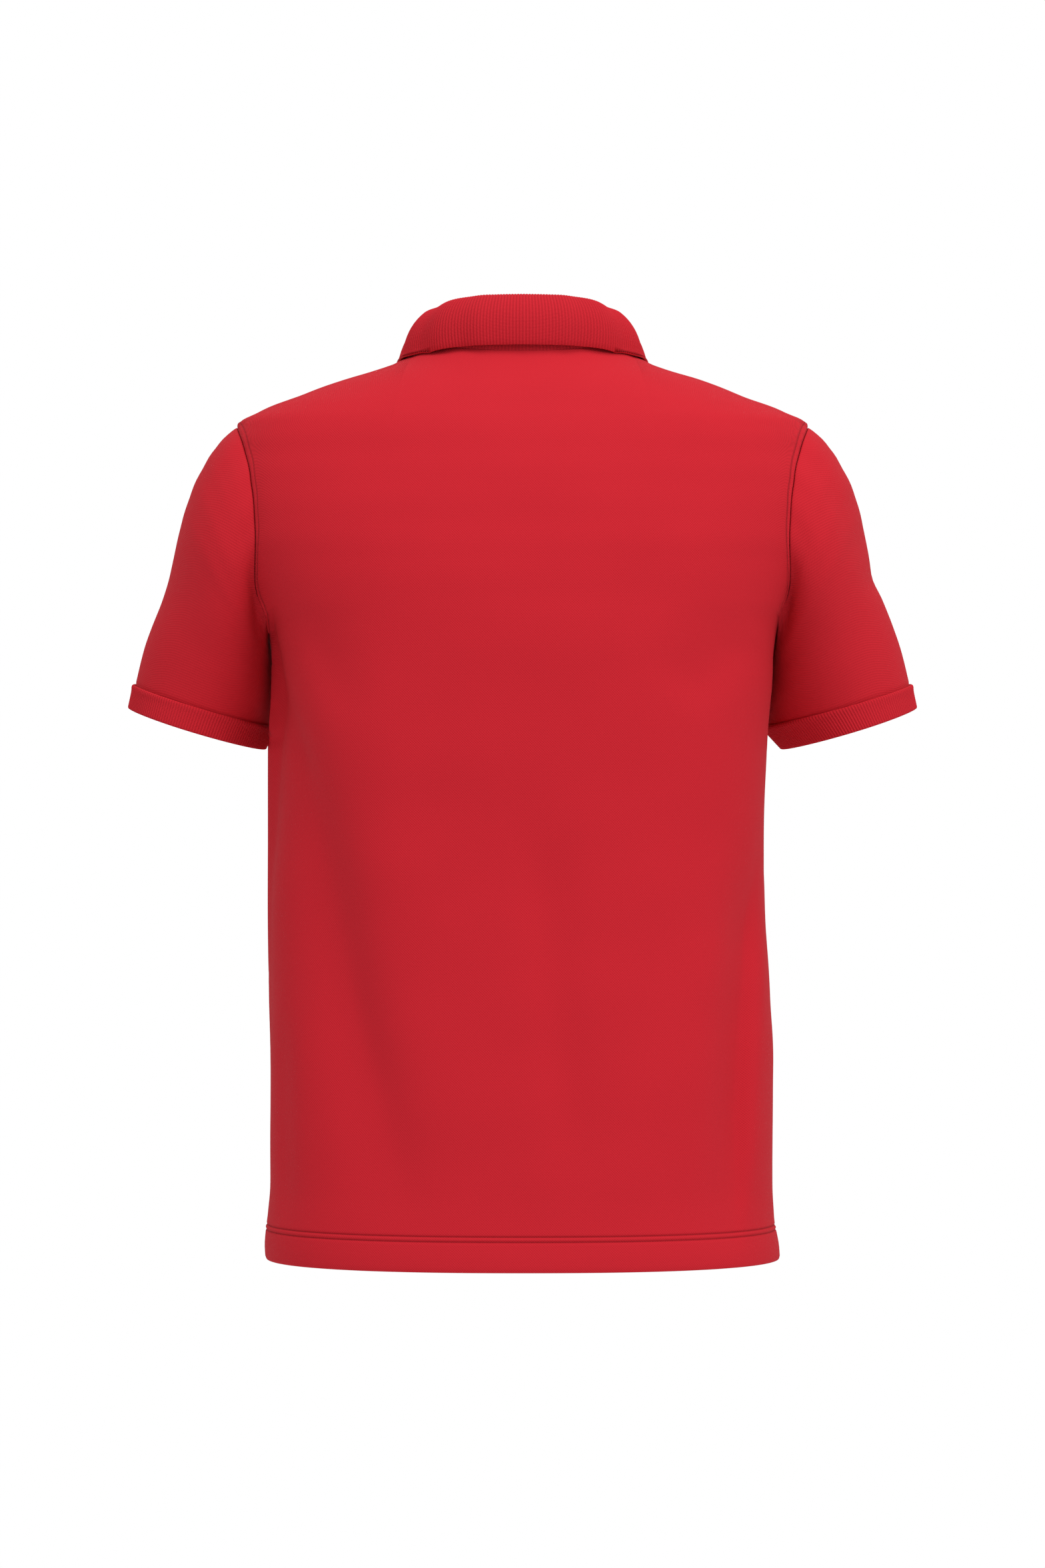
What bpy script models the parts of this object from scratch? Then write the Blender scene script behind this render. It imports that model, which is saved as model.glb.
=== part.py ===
"""Short-sleeved polo shirt, filled out and hollow, as the pieces it is sewn from.

The wearer's left is +X, the front faces -Y and +Z is up. The origin lies midway between
the two places where the collar meets the wearer's shoulders. Lengths are in metres.
"""

import math
from collections import namedtuple

import bmesh
import bpy
import numpy as np

# ---- cloth and seams ----
CLOTH = 0.0015                  # wall of the pique panels
TURNED_CLOTH = 0.0026           # wall where the hem is turned up
RIB_CLOTH = 0.0022              # wall of the collar and cuffs
SEAM_GAP = 0.0003
HEM_DEPTH = 0.0255

# ---- body ----
HEM_HEIGHT = -0.708
UNDERARM_HEIGHT = -0.2155
SHOULDER_POINT = (0.2258, -0.052)      # half the span over the shoulders, and its height
NECK_HALF_WIDTH = 0.082
NECK_SIDE_HEIGHT = 0.0115
NECK_BACK_HEIGHT = 0.0035
NECK_FRONT_HEIGHT = -0.075
NECK_FRONT_CURVE = 1.4
BACK, FRONT = 1, -1
LEFT, RIGHT = 1, -1

Section = namedtuple("Section", "height left right back front fullness")
BODY_SECTIONS = (
    Section(-0.7080, 0.2032, 0.2032, 0.138, 0.142, 2.40),
    Section(-0.6900, 0.2028, 0.2008, 0.136, 0.140, 2.40),
    Section(-0.6720, 0.2010, 0.1984, 0.134, 0.138, 2.40),
    Section(-0.6400, 0.1993, 0.1977, 0.132, 0.136, 2.42),
    Section(-0.5750, 0.1992, 0.1981, 0.130, 0.134, 2.45),
    Section(-0.5000, 0.2008, 0.1958, 0.127, 0.132, 2.45),
    Section(-0.4000, 0.2018, 0.1910, 0.125, 0.131, 2.45),
    Section(-0.3100, 0.2018, 0.1934, 0.128, 0.133, 2.45),
    Section(-0.2500, 0.1990, 0.1972, 0.130, 0.133, 2.45),
    Section(-0.2155, 0.2011, 0.2003, 0.131, 0.131, 2.45),
    Section(-0.1900, 0.2120, 0.2115, 0.130, 0.129, 2.42),
    Section(-0.1600, 0.2260, 0.2255, 0.128, 0.126, 2.40),
    Section(-0.1300, 0.2340, 0.2335, 0.124, 0.121, 2.40),
    Section(-0.1000, 0.2360, 0.2355, 0.118, 0.115, 2.40),
    Section(-0.0750, 0.2330, 0.2325, 0.111, 0.108, 2.38),
    Section(-0.0520, 0.2258, 0.2258, 0.103, 0.100, 2.36),
    Section(-0.0412, 0.2100, 0.2088, 0.097, 0.094, 2.35),
    Section(-0.0285, 0.1772, 0.1762, 0.090, 0.088, 2.32),
    Section(-0.0158, 0.1442, 0.1428, 0.081, 0.080, 2.30),
    Section(-0.0060, 0.1135, 0.1120, 0.073, 0.074, 2.25),
    Section(0.0000, 0.0978, 0.0978, 0.068, 0.070, 2.22),
    Section(0.0060, 0.0880, 0.0880, 0.064, 0.066, 2.20),
    Section(0.0115, 0.0820, 0.0820, 0.060, 0.062, 2.20),
)

# Half the width between the armhole seams, back and front, down the armhole.
Armhole = namedtuple("Armhole", "height back front")
ARMHOLES = (
    Armhole(-0.2155, 0.2040, 0.2040),
    Armhole(-0.2034, 0.2022, 0.2006),
    Armhole(-0.1860, 0.2078, 0.2045),
    Armhole(-0.1710, 0.2088, 0.2035),
    Armhole(-0.1480, 0.2076, 0.2015),
    Armhole(-0.1270, 0.2084, 0.2020),
    Armhole(-0.1000, 0.2113, 0.2062),
    Armhole(-0.0759, 0.2166, 0.2132),
    Armhole(-0.0520, 0.2258, 0.2258),
)

# ---- sleeves and cuffs: rings from the armhole down, as seen from the back ----
Ring = namedtuple("Ring", "along outer outer_height inner_left inner_right inner_height"
                          " back front tilt swing")
SLEEVE_RINGS = (
    Ring(0.00, 0.2258, -0.0520, 0.2011, 0.2003, -0.2155, 0.0687, -0.0730, 0.0, 0.000),
    Ring(0.05, 0.2345, -0.0590, 0.2010, 0.2002, -0.2190, 0.0700, -0.0738, 0.0, 0.008),
    Ring(0.10, 0.2415, -0.0668, 0.2005, 0.1996, -0.2227, 0.0706, -0.0742, 0.0, 0.016),
    Ring(0.19, 0.2523, -0.0833, 0.1993, 0.1982, -0.2292, 0.0708, -0.0745, 0.6, 0.027),
    Ring(0.31, 0.2635, -0.1080, 0.1979, 0.1963, -0.2379, 0.0690, -0.0745, 1.2, 0.037),
    Ring(0.43, 0.2708, -0.1330, 0.1970, 0.1952, -0.2465, 0.0640, -0.0735, 1.8, 0.043),
    Ring(0.55, 0.2771, -0.1590, 0.1966, 0.1944, -0.2552, 0.0575, -0.0720, 2.4, 0.045),
    Ring(0.67, 0.2848, -0.1850, 0.1966, 0.1935, -0.2639, 0.0505, -0.0710, 3.0, 0.045),
    Ring(0.79, 0.2940, -0.2095, 0.1970, 0.1926, -0.2725, 0.0440, -0.0705, 3.3, 0.045),
    Ring(0.90, 0.3017, -0.2330, 0.1984, 0.1925, -0.2805, 0.0380, -0.0702, 3.5, 0.045),
    Ring(1.00, 0.3075, -0.2540, 0.1999, 0.1930, -0.2872, 0.0335, -0.0705, 3.5, 0.045),
)
CUFF_RINGS = (
    Ring(0.00, 0.3098, -0.2540, 0.1978, 0.1909, -0.2876, 0.0353, -0.0725, 3.5, 0.045),
    Ring(1.00, 0.3140, -0.2733, 0.2063, 0.2080, -0.3065, 0.0358, -0.0770, 3.5, 0.043),
)
SLEEVE_TURN = 2.6               # how closely the swing keeps to a sleeve's inner line
ARMHOLE_FADE = 0.42             # how far down the sleeve the armhole's own shape reaches
UNDERARM_RISE = 0.0121          # height over which the armhole leaves the side seam
UNDERARM_LEAVE = 0.0137         # how much narrower than the body it is there, as a share
UNDERARM_POWER = 2.2

# ---- collar: half of it, from the back of the neck round to its front end ----
CollarLine = namedtuple("CollarLine", "around fold_x fold_y fold_height edge_x edge_y edge_height")
COLLAR_LINES = (
    CollarLine(0.00, 0.0000, 0.0590, 0.0475, 0.0000, 0.0695, 0.0084),
    CollarLine(0.20, 0.0400, 0.0520, 0.0454, 0.0460, 0.0612, 0.0076),
    CollarLine(0.35, 0.0640, 0.0300, 0.0410, 0.0785, 0.0390, 0.0026),
    CollarLine(0.50, 0.0745, -0.0020, 0.0350, 0.0958, 0.0000, -0.0008),
    CollarLine(0.62, 0.0735, -0.0340, 0.0240, 0.0995, -0.0460, -0.0085),
    CollarLine(0.75, 0.0620, -0.0620, 0.0015, 0.0880, -0.0850, -0.0340),
    CollarLine(0.88, 0.0380, -0.0840, -0.0290, 0.0680, -0.1090, -0.0800),
    CollarLine(1.00, 0.0025, -0.0985, -0.0490, 0.0340, -0.1180, -0.1060),
)
FOLD_RADIUS = 0.0050
FALL_BULGE = 0.0100
FALL_CLEARANCE = 0.0030         # from the shoulders to the middle of the fall's height
EDGE_CLEARANCE = 0.0018         # and to its lower edge
COLLAR_END = 0.985              # the collar's ends stop this far round, clear of each other

# ---- ribs ----
COLLAR_RIBS = 248
CUFF_RIBS = 160
RIB_HEIGHT = 0.0006

# ---- placket and buttons ----
PLACKET_HALF_WIDTH = 0.0145
PLACKET_LENGTH = 0.150
PLACKET_CLOTH = 0.0022
PLACKET_PROUD = 0.0006
UNDER_EXTRA = 0.0035            # how much wider than the slit the under band is, each side
UNDER_GAP = 0.0007
BUTTON_HEIGHTS = (-0.098, -0.143, -0.188)
BUTTON_RADIUS = 0.0055
BUTTON_DEPTH = 0.0026
HOLE_RADIUS = 0.0009
HOLE_OFFSET = 0.0013

# ---- how finely each piece is made ----
SHOULDER_COLUMNS = 5
NECK_COLUMNS = 12
SPREAD_POWER = 0.6              # how soon a panel's columns part below the neckline
SEAM_ROWS = 12
ARMHOLE_ROWS = 11
CUFF_COLUMNS = 40
FALL_ROWS = 3

# ---- largest folds: soft troughs (depth > 0) and ridges (depth < 0) in a panel ----
Fold = namedtuple("Fold", "side x_top top x_low low bow half_width depth")
BODY_FOLDS = (
    Fold(BACK, 0.2080, -0.250, 0.0920, -0.660, -0.006, 0.0320, 0.0110),
    Fold(BACK, 0.1830, -0.420, 0.1450, -0.690, 0.004, 0.0220, -0.0030),
    Fold(BACK, 0.1200, -0.215, 0.0920, -0.470, 0.000, 0.0330, -0.0045),
    Fold(BACK, -0.1850, -0.370, -0.1690, -0.690, 0.004, 0.0130, 0.0050),
    Fold(BACK, -0.0300, -0.320, -0.0280, -0.640, 0.005, 0.0280, 0.0025),
    Fold(BACK, -0.1780, -0.200, -0.0950, -0.262, 0.000, 0.0170, 0.0035),
    Fold(FRONT, -0.1850, -0.250, -0.0900, -0.600, -0.008, 0.0240, 0.0070),
    Fold(FRONT, 0.1850, -0.260, 0.1050, -0.560, 0.006, 0.0230, 0.0060),
    Fold(FRONT, 0.0400, -0.330, 0.0250, -0.660, -0.005, 0.0280, 0.0030),
)

# ---- colours ----
RED = (0.545, 0.018, 0.030, 1.0)
DEEP_RED = (0.500, 0.016, 0.027, 1.0)
BUTTON_RED = (0.420, 0.014, 0.022, 1.0)


def start_scene():
    """Remove what is in the scene and make the shirt's own collection."""
    for item in list(bpy.data.objects):
        bpy.data.objects.remove(item, do_unlink=True)
    shirt = bpy.data.collections.new("polo_shirt")
    cutters = bpy.data.collections.new("cutters")
    bpy.context.scene.collection.children.link(shirt)
    bpy.context.scene.collection.children.link(cutters)
    return shirt, cutters


def make_material(name, colour, roughness):
    material = bpy.data.materials.new(name)
    material.use_nodes = True
    shader = material.node_tree.nodes["Principled BSDF"]
    shader.inputs["Base Color"].default_value = colour
    shader.inputs["Roughness"].default_value = roughness
    shader.inputs["Metallic"].default_value = 0.0
    return material


def read_column(table, column, place):
    """One column of a table between its rows, smooth and without overshoot."""
    places = np.array([row[0] for row in table])
    values = np.array([getattr(row, column) for row in table])
    steps = np.diff(places)
    rises = np.diff(values) / steps
    slopes = np.zeros(len(values))
    same_way = rises[:-1] * rises[1:] > 0
    safe = np.where(same_way, rises[:-1] + rises[1:], 1.0)
    slopes[1:-1] = np.where(same_way, 2 * rises[:-1] * rises[1:] / safe, 0.0)
    slopes[0] = rises[0]
    slopes[-1] = rises[-1]
    beyond = place - np.clip(place, places[0], places[-1])
    place = place - beyond
    row = np.clip(np.searchsorted(places, place, side="right") - 1, 0, len(steps) - 1)
    t = (place - places[row]) / steps[row]
    start = values[row] + steps[row] * t * slopes[row]
    end = values[row + 1] + steps[row] * (t - 1) * slopes[row + 1]
    blend = t * t * (3 - 2 * t)
    run_on = beyond * np.where(beyond < 0, slopes[0], slopes[-1])
    return start * (1 - blend) + end * blend + run_on


def smooth_step(value, low, high):
    t = np.clip((value - low) / (high - low), 0.0, 1.0)
    return t * t * (3 - 2 * t)


def unit(vectors):
    return vectors / np.maximum(np.linalg.norm(vectors, axis=-1, keepdims=True), 1e-12)


def body_half_width(x, z):
    left = read_column(BODY_SECTIONS, "left", z)
    right = read_column(BODY_SECTIONS, "right", z)
    return np.where(x >= 0, left, right)


def body_point(x, z, side):
    """Where the body's surface stands, back or front, behind a place in the view."""
    fullness = read_column(BODY_SECTIONS, "fullness", z)
    depth = read_column(BODY_SECTIONS, "back" if side == BACK else "front", z)
    share = np.clip(np.abs(x) / body_half_width(x, z), 0.0, 1.0)
    y = side * depth * (1 - share ** fullness) ** (1 / fullness)
    return np.stack(np.broadcast_arrays(x, y, z), axis=-1)


def body_measure(points):
    """Below 1 inside the body, 1 on its surface, above 1 outside."""
    x, y, z = points[..., 0], points[..., 1], points[..., 2]
    fullness = read_column(BODY_SECTIONS, "fullness", z)
    depth = np.where(y >= 0, read_column(BODY_SECTIONS, "back", z),
                     read_column(BODY_SECTIONS, "front", z))
    width = body_half_width(x, z)
    return (np.abs(x) / width) ** fullness + (np.abs(y) / depth) ** fullness


def body_slope(points, step=0.0004):
    """The direction straight out of the body, before it is made a unit long."""
    slope = np.zeros_like(points)
    for axis in range(3):
        shift = np.zeros(3)
        shift[axis] = step
        slope[..., axis] = (body_measure(points + shift) - body_measure(points - shift)) / (2 * step)
    return slope


def fold_depth(x, z, side):
    """How far the folds sink the cloth at a place in the view."""
    depth = np.zeros(np.broadcast(x, z).shape)
    for fold in BODY_FOLDS:
        if fold.side != side:
            continue
        t = (fold.top - z) / (fold.top - fold.low)
        middle = fold.x_top + (fold.x_low - fold.x_top) * t + fold.bow * 4 * t * (1 - t)
        length = fold.top - fold.low
        lean = math.cos(math.atan2(fold.x_low - fold.x_top, length))
        across = (x - middle) * lean / fold.half_width
        ends = smooth_step(t, -0.12, 0.22) * smooth_step(1 - t, -0.10, 0.30)
        depth = depth + fold.depth * ends * np.exp(-across ** 2)
    return depth


def neck_line(angle, side):
    """A place on the neckline, in the view; the angle is 0 at the side and 90 at the middle."""
    x = NECK_HALF_WIDTH * np.cos(angle)
    if side == BACK:
        z = NECK_SIDE_HEIGHT - (NECK_SIDE_HEIGHT - NECK_BACK_HEIGHT) * np.sin(angle) ** 2
    else:
        drop = NECK_SIDE_HEIGHT - NECK_FRONT_HEIGHT
        z = NECK_SIDE_HEIGHT - drop * np.sin(angle) ** NECK_FRONT_CURVE
    return x, z


def top_edge(side):
    """A panel's top edge from the left shoulder point over the neck to the right one."""
    steps = np.linspace(0, 1, SHOULDER_COLUMNS + 1)
    heights = SHOULDER_POINT[1] + (NECK_SIDE_HEIGHT - SHOULDER_POINT[1]) * steps
    widths = body_half_width(np.ones_like(heights), heights)
    half = NECK_COLUMNS // 2
    power = 1.0 if side == BACK else 1.45
    angles = math.pi / 2 * (np.arange(1, half + 1) / half) ** power
    neck_x, neck_z = neck_line(angles, side)
    x = np.concatenate([widths, neck_x])
    z = np.concatenate([heights, neck_z])
    if side == FRONT:
        x[-2] = PLACKET_HALF_WIDTH
        z[-2] = neck_line(math.acos(PLACKET_HALF_WIDTH / NECK_HALF_WIDTH), FRONT)[1]
    mirrored = -x[:-1][::-1]
    shoulder_part = np.arange(len(mirrored)) >= len(mirrored) - SHOULDER_COLUMNS - 1
    right = body_half_width(-np.ones_like(mirrored), z[:-1][::-1])
    mirrored = np.where(shoulder_part, -right, mirrored)
    return np.concatenate([x, mirrored]), np.concatenate([z, z[:-1][::-1]])


def side_edge(side, hand):
    """A panel's side edge: the side seam from the hem up, then the armhole."""
    seam = np.linspace(UNDERARM_HEIGHT, HEM_HEIGHT + HEM_DEPTH, SEAM_ROWS)[::-1]
    seam = np.concatenate([[HEM_HEIGHT], seam])
    angles = np.linspace(math.pi, 0, ARMHOLE_ROWS + 1)[1:]
    middle = (UNDERARM_HEIGHT + SHOULDER_POINT[1]) / 2
    radius = (SHOULDER_POINT[1] - UNDERARM_HEIGHT) / 2
    arm_z = middle + radius * np.cos(angles)
    arm_x = read_column(ARMHOLES, "back" if side == BACK else "front", arm_z)
    limit = body_half_width(np.full_like(arm_z, hand), arm_z)
    risen = np.clip((arm_z - UNDERARM_HEIGHT) / UNDERARM_RISE, 0, 1)
    arm_x = np.minimum(arm_x, limit * (1 - UNDERARM_LEAVE * risen ** UNDERARM_POWER))
    arm_x[-1] = limit[-1]
    seam_x = body_half_width(np.full_like(seam, hand), seam)
    return hand * np.concatenate([seam_x, arm_x]), np.concatenate([seam, arm_z])


def panel_grid(side):
    """Outer points of the back or the front: rows from the hem up, columns left to right."""
    top_x, top_z = top_edge(side)
    left_x, left_z = side_edge(side, LEFT)
    right_x, right_z = side_edge(side, RIGHT)
    count = len(top_x)
    turn = np.linspace(math.pi / 2, -math.pi / 2, count)
    wide = body_half_width(np.sin(turn), np.full(count, HEM_HEIGHT))
    low_x = wide * np.sin(turn)
    if side == FRONT:
        centre = count // 2
        low_x[centre - 1] = PLACKET_HALF_WIDTH
        low_x[centre + 1] = -PLACKET_HALF_WIDTH
    up = (left_z - HEM_HEIGHT) / (SHOULDER_POINT[1] - HEM_HEIGHT)
    z = HEM_HEIGHT + up[:, None] * (top_z - HEM_HEIGHT)[None, :]
    spread = ((1 - up) ** SPREAD_POWER)[:, None]
    x = low_x[None, :] * spread + top_x[None, :] * (1 - spread)
    near_left = np.clip(1 - np.arange(count) / SHOULDER_COLUMNS, 0, 1)
    x = x + near_left[None, :] * (left_x - x[:, 0])[:, None]
    x = x + near_left[None, ::-1] * (right_x - x[:, -1])[:, None]
    if side == FRONT:
        x[:, centre - 1] = PLACKET_HALF_WIDTH
        x[:, centre] = 0.0
        x[:, centre + 1] = -PLACKET_HALF_WIDTH
    return body_point(x, z, side)


def finish_panel(grid, side, sleeve_directions):
    """Sink the folds, part the seams, and give the way each point's wall goes."""
    rows, columns = grid.shape[:2]
    outward = unit(body_slope(grid))
    from_edge = np.minimum(np.arange(columns), np.arange(columns)[::-1])
    held = smooth_step(from_edge, 0.0, 2.0)[None, :]
    sunk = fold_depth(grid[..., 0], grid[..., 2], side) * held
    grid = grid - outward * sunk[..., None]
    seam_y = np.zeros((rows, columns))
    seam_y[:, [0, -1]] = side * SEAM_GAP / 2
    seam_y[-1, :SHOULDER_COLUMNS + 1] = side * SEAM_GAP / 2
    seam_y[-1, -SHOULDER_COLUMNS - 1:] = side * SEAM_GAP / 2
    grid[..., 1] = grid[..., 1] + seam_y
    for column, hand in ((0, LEFT), (-1, RIGHT)):
        for row in range(SEAM_ROWS, rows):
            outward[row, column] = seam_direction(outward[row, column],
                                                  sleeve_directions[hand][side][row - SEAM_ROWS])
    return grid, outward


def seam_direction(own, partner):
    """Walls that meet on a bend share one direction; walls folded together keep their own."""
    share = smooth_step(float(np.dot(own, partner)), -0.35, 0.25)
    return unit(own + share * partner)


def armhole_loop(back, front, hand):
    """The armhole's points: shoulder, down the back, underarm, up the front."""
    column = 0 if hand == LEFT else -1
    down = back[SEAM_ROWS:, column][::-1]
    up = front[SEAM_ROWS:, column][1:-1]
    loop = np.concatenate([down, up])
    loop[0, 1] = 0.0
    loop[ARMHOLE_ROWS, 1] = 0.0
    return loop


def ring_points(rings, along, angles, hand):
    """Points of oval rings; angle 0 is the outer line and 90 degrees is the back."""
    outer = read_column(rings, "outer", along)
    outer_height = read_column(rings, "outer_height", along)
    inner = read_column(rings, "inner_left" if hand == LEFT else "inner_right", along)
    inner_height = read_column(rings, "inner_height", along)
    back = read_column(rings, "back", along)
    front = read_column(rings, "front", along)
    tilt = np.radians(read_column(rings, "tilt", along))
    swing = read_column(rings, "swing", along)[:, None]
    wave = np.cos(angles)[None, :]
    sway = np.sin(angles)[None, :]
    depth = ((back - front) / 2)[:, None]
    x = ((outer + inner) / 2)[:, None] + ((outer - inner) / 2)[:, None] * wave
    y = ((back + front) / 2)[:, None] + depth * sway * np.cos(tilt)[:, None]
    y = y - swing * ((1 - wave) / 2) ** SLEEVE_TURN
    z = ((outer_height + inner_height) / 2)[:, None]
    z = z + ((outer_height - inner_height) / 2)[:, None] * wave
    z = z - depth * sway * np.sin(tilt)[:, None]
    return np.stack([hand * x, y, z], axis=-1)


def ring_directions(rings, along, angles, hand):
    """The ways straight out of one oval ring, in the ring's own plane."""
    ring = ring_points(rings, np.array([along]), angles, hand)[0]
    centre = ring.mean(axis=0)
    long_way = ring_points(rings, np.array([along]), np.array([0.0]), hand)[0, 0] - centre
    short_way = ring_points(rings, np.array([along]), np.array([math.pi / 2]), hand)[0, 0] - centre
    lengths = np.linalg.norm(long_way), np.linalg.norm(short_way)
    out = (np.cos(angles)[:, None] * unit(long_way) / lengths[0]
           + np.sin(angles)[:, None] * unit(short_way) / lengths[1])
    return unit(out)


def tube_directions(grid, hand):
    """The ways straight out of a tube of rings."""
    down = np.gradient(grid, axis=0)
    around = np.roll(grid, -1, axis=1) - np.roll(grid, 1, axis=1)
    return unit(hand * np.cross(down, around))


def sleeve_grid(loop, hand):
    """Outer points of a sleeve, rings from the armhole to the cuff, and their ways out."""
    count = len(loop)
    angles = np.arange(count) * 2 * math.pi / count
    along = np.array([ring.along for ring in SLEEVE_RINGS])
    grid = ring_points(SLEEVE_RINGS, along, angles, hand)
    fade = 1 - smooth_step(along, 0.0, ARMHOLE_FADE)
    grid = grid + fade[:, None, None] * (loop - grid[0])[None, :, :]
    return grid, tube_directions(grid, hand)


def finish_sleeve(grid, outward, loop_directions, hand):
    """Part the sleeve from the armhole and the cuff, and square its lower end."""
    angles = np.arange(grid.shape[1]) * 2 * math.pi / grid.shape[1]
    grid = grid.copy()
    outward = outward.copy()
    grid[0, :, 0] += hand * SEAM_GAP * 1.2
    for column in range(grid.shape[1]):
        outward[0, column] = seam_direction(outward[0, column], loop_directions[column])
    outward[-1] = ring_directions(SLEEVE_RINGS, 1.0, angles, hand)
    return grid, outward


def cloth_wall(name, outer, inner, look, shirt, keep=None, wrap=False):
    """A closed wall of cloth between outer and inner points laid out in rows and columns."""
    rows, columns = outer.shape[:2]
    mesh = bmesh.new()
    outside = [[mesh.verts.new(point) for point in row] for row in outer]
    inside = [[mesh.verts.new(point) for point in row] for row in inner]
    partner = {}
    for row in range(rows):
        for column in range(columns):
            partner[outside[row][column]] = inside[row][column]
    cells = []
    for row in range(rows - 1):
        for column in range(columns if wrap else columns - 1):
            if keep is None or keep[row][column]:
                right = (column + 1) % columns
                cells.append(((row, column), (row, right), (row + 1, right), (row + 1, column)))
    for cell in cells:
        mesh.faces.new([outside[row][column] for row, column in cell])
    rims = [edge for edge in mesh.edges if edge.is_boundary]
    for cell in cells:
        mesh.faces.new([inside[row][column] for row, column in reversed(cell)])
    for edge in rims:
        first, second = edge.verts
        mesh.faces.new([first, second, partner[second], partner[first]])
    loose = [point for point in mesh.verts if not point.link_faces]
    bmesh.ops.delete(mesh, geom=loose, context="VERTS")
    return add_piece(name, mesh, look, shirt)


def add_piece(name, mesh, look, shirt):
    bmesh.ops.recalc_face_normals(mesh, faces=mesh.faces)
    if mesh.calc_volume(signed=True) < 0:
        bmesh.ops.reverse_faces(mesh, faces=mesh.faces)
    data = bpy.data.meshes.new(name)
    mesh.to_mesh(data)
    mesh.free()
    data.materials.append(look)
    data.shade_smooth()
    data.set_sharp_from_angle(angle=math.radians(50))
    piece = bpy.data.objects.new(name, data)
    shirt.objects.link(piece)
    return piece


def wall_depths(grid):
    """Each row's cloth: double where the hem is turned up."""
    in_hem = grid[..., 2] < HEM_HEIGHT + HEM_DEPTH + 0.001
    return np.where(in_hem, TURNED_CLOTH, CLOTH)[..., None]


def placket_rows(grid):
    """The rows of the front that lie beside the placket."""
    centre = grid.shape[1] // 2
    low = grid[-1, centre, 2] - PLACKET_LENGTH
    return int(np.argmin(np.abs(grid[:, centre, 2] - low)))


def build_panels(shirt, cloth):
    """The back, the front with its slit, and both sleeves."""
    raw = {side: panel_grid(side) for side in (BACK, FRONT)}
    sleeves = {}
    for hand in (LEFT, RIGHT):
        loop = armhole_loop(raw[BACK], raw[FRONT], hand)
        sleeves[hand] = sleeve_grid(loop, hand)
    ways = {hand: armhole_ways(sleeves[hand][1][0]) for hand in sleeves}
    panels = {side: finish_panel(raw[side], side, ways) for side in raw}
    grid, outward = panels[BACK]
    cloth_wall("back", grid, grid - outward * wall_depths(grid), cloth, shirt)
    grid, outward = panels[FRONT]
    slit_row = placket_rows(grid)
    centre = grid.shape[1] // 2
    keep = np.ones((grid.shape[0] - 1, grid.shape[1] - 1), dtype=bool)
    keep[slit_row:, centre - 1:centre + 1] = False
    cloth_wall("front", grid, grid - outward * wall_depths(grid), cloth, shirt, keep=keep)
    for hand, name in ((LEFT, "sleeve_left"), (RIGHT, "sleeve_right")):
        column = 0 if hand == LEFT else -1
        plain = {side: unit(body_slope(raw[side]))[SEAM_ROWS:, column] for side in raw}
        loop_ways = np.concatenate([plain[BACK][::-1], plain[FRONT][1:-1]])
        points, out = finish_sleeve(*sleeves[hand], loop_ways, hand)
        cloth_wall(name, points, points - out * CLOTH, cloth, shirt, wrap=True)
    return panels, slit_row


def armhole_ways(ring):
    """A sleeve's first ring of directions, dealt out to the back and the front, upwards."""
    back = ring[:ARMHOLE_ROWS + 1][::-1]
    front = np.concatenate([ring[ARMHOLE_ROWS:], ring[:1]])
    return {BACK: back, FRONT: front}


def join_lines(mesh, first, second):
    """Faces between two lines of points, each with its points' places along the line."""
    (near, near_places), (far, far_places) = first, second
    if len(near) == len(far):
        for step in range(len(near) - 1):
            mesh.faces.new([near[step], near[step + 1], far[step + 1], far[step]])
        return
    here, there = 0, 0
    while here < len(near) - 1 or there < len(far) - 1:
        near_next = near_places[here + 1] if here < len(near) - 1 else math.inf
        far_next = far_places[there + 1] if there < len(far) - 1 else math.inf
        if near_next <= far_next:
            mesh.faces.new([near[here], near[here + 1], far[there]])
            here += 1
        else:
            mesh.faces.new([near[here], far[there + 1], far[there]])
            there += 1


def raise_ribs(points, outward):
    """Every other point of a row stands out as the crest of a rib."""
    crests = np.arange(len(points)) % 2
    return points + outward * (RIB_HEIGHT * crests)[:, None]


def build_cuff(name, hand, look, shirt):
    """A ribbed cuff: ribs outside, plain inside."""
    fine = np.arange(CUFF_RIBS * 2) * math.pi / CUFF_RIBS
    plain = np.arange(CUFF_COLUMNS) * 2 * math.pi / CUFF_COLUMNS
    mesh = bmesh.new()
    lines = []
    for along, angles, depth in ((0.0, fine, 0.0), (1.0, fine, 0.0),
                                 (1.0, plain, RIB_CLOTH), (0.0, plain, RIB_CLOTH)):
        ring = ring_points(CUFF_RINGS, np.array([along]), angles, hand)[0]
        out = ring_directions(CUFF_RINGS, along, angles, hand)
        ring[:, 2] -= SEAM_GAP * 1.4 * (1 - along)
        ring = ring - out * depth
        if depth == 0.0:
            ring = raise_ribs(ring - out * RIB_HEIGHT, out)
        line = [mesh.verts.new(point) for point in ring]
        lines.append((line + line[:1], np.append(angles, 2 * math.pi)))
    for first, second in zip(lines, lines[1:] + lines[:1]):
        join_lines(mesh, first, second)
    add_piece(name, mesh, look, shirt)


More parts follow.
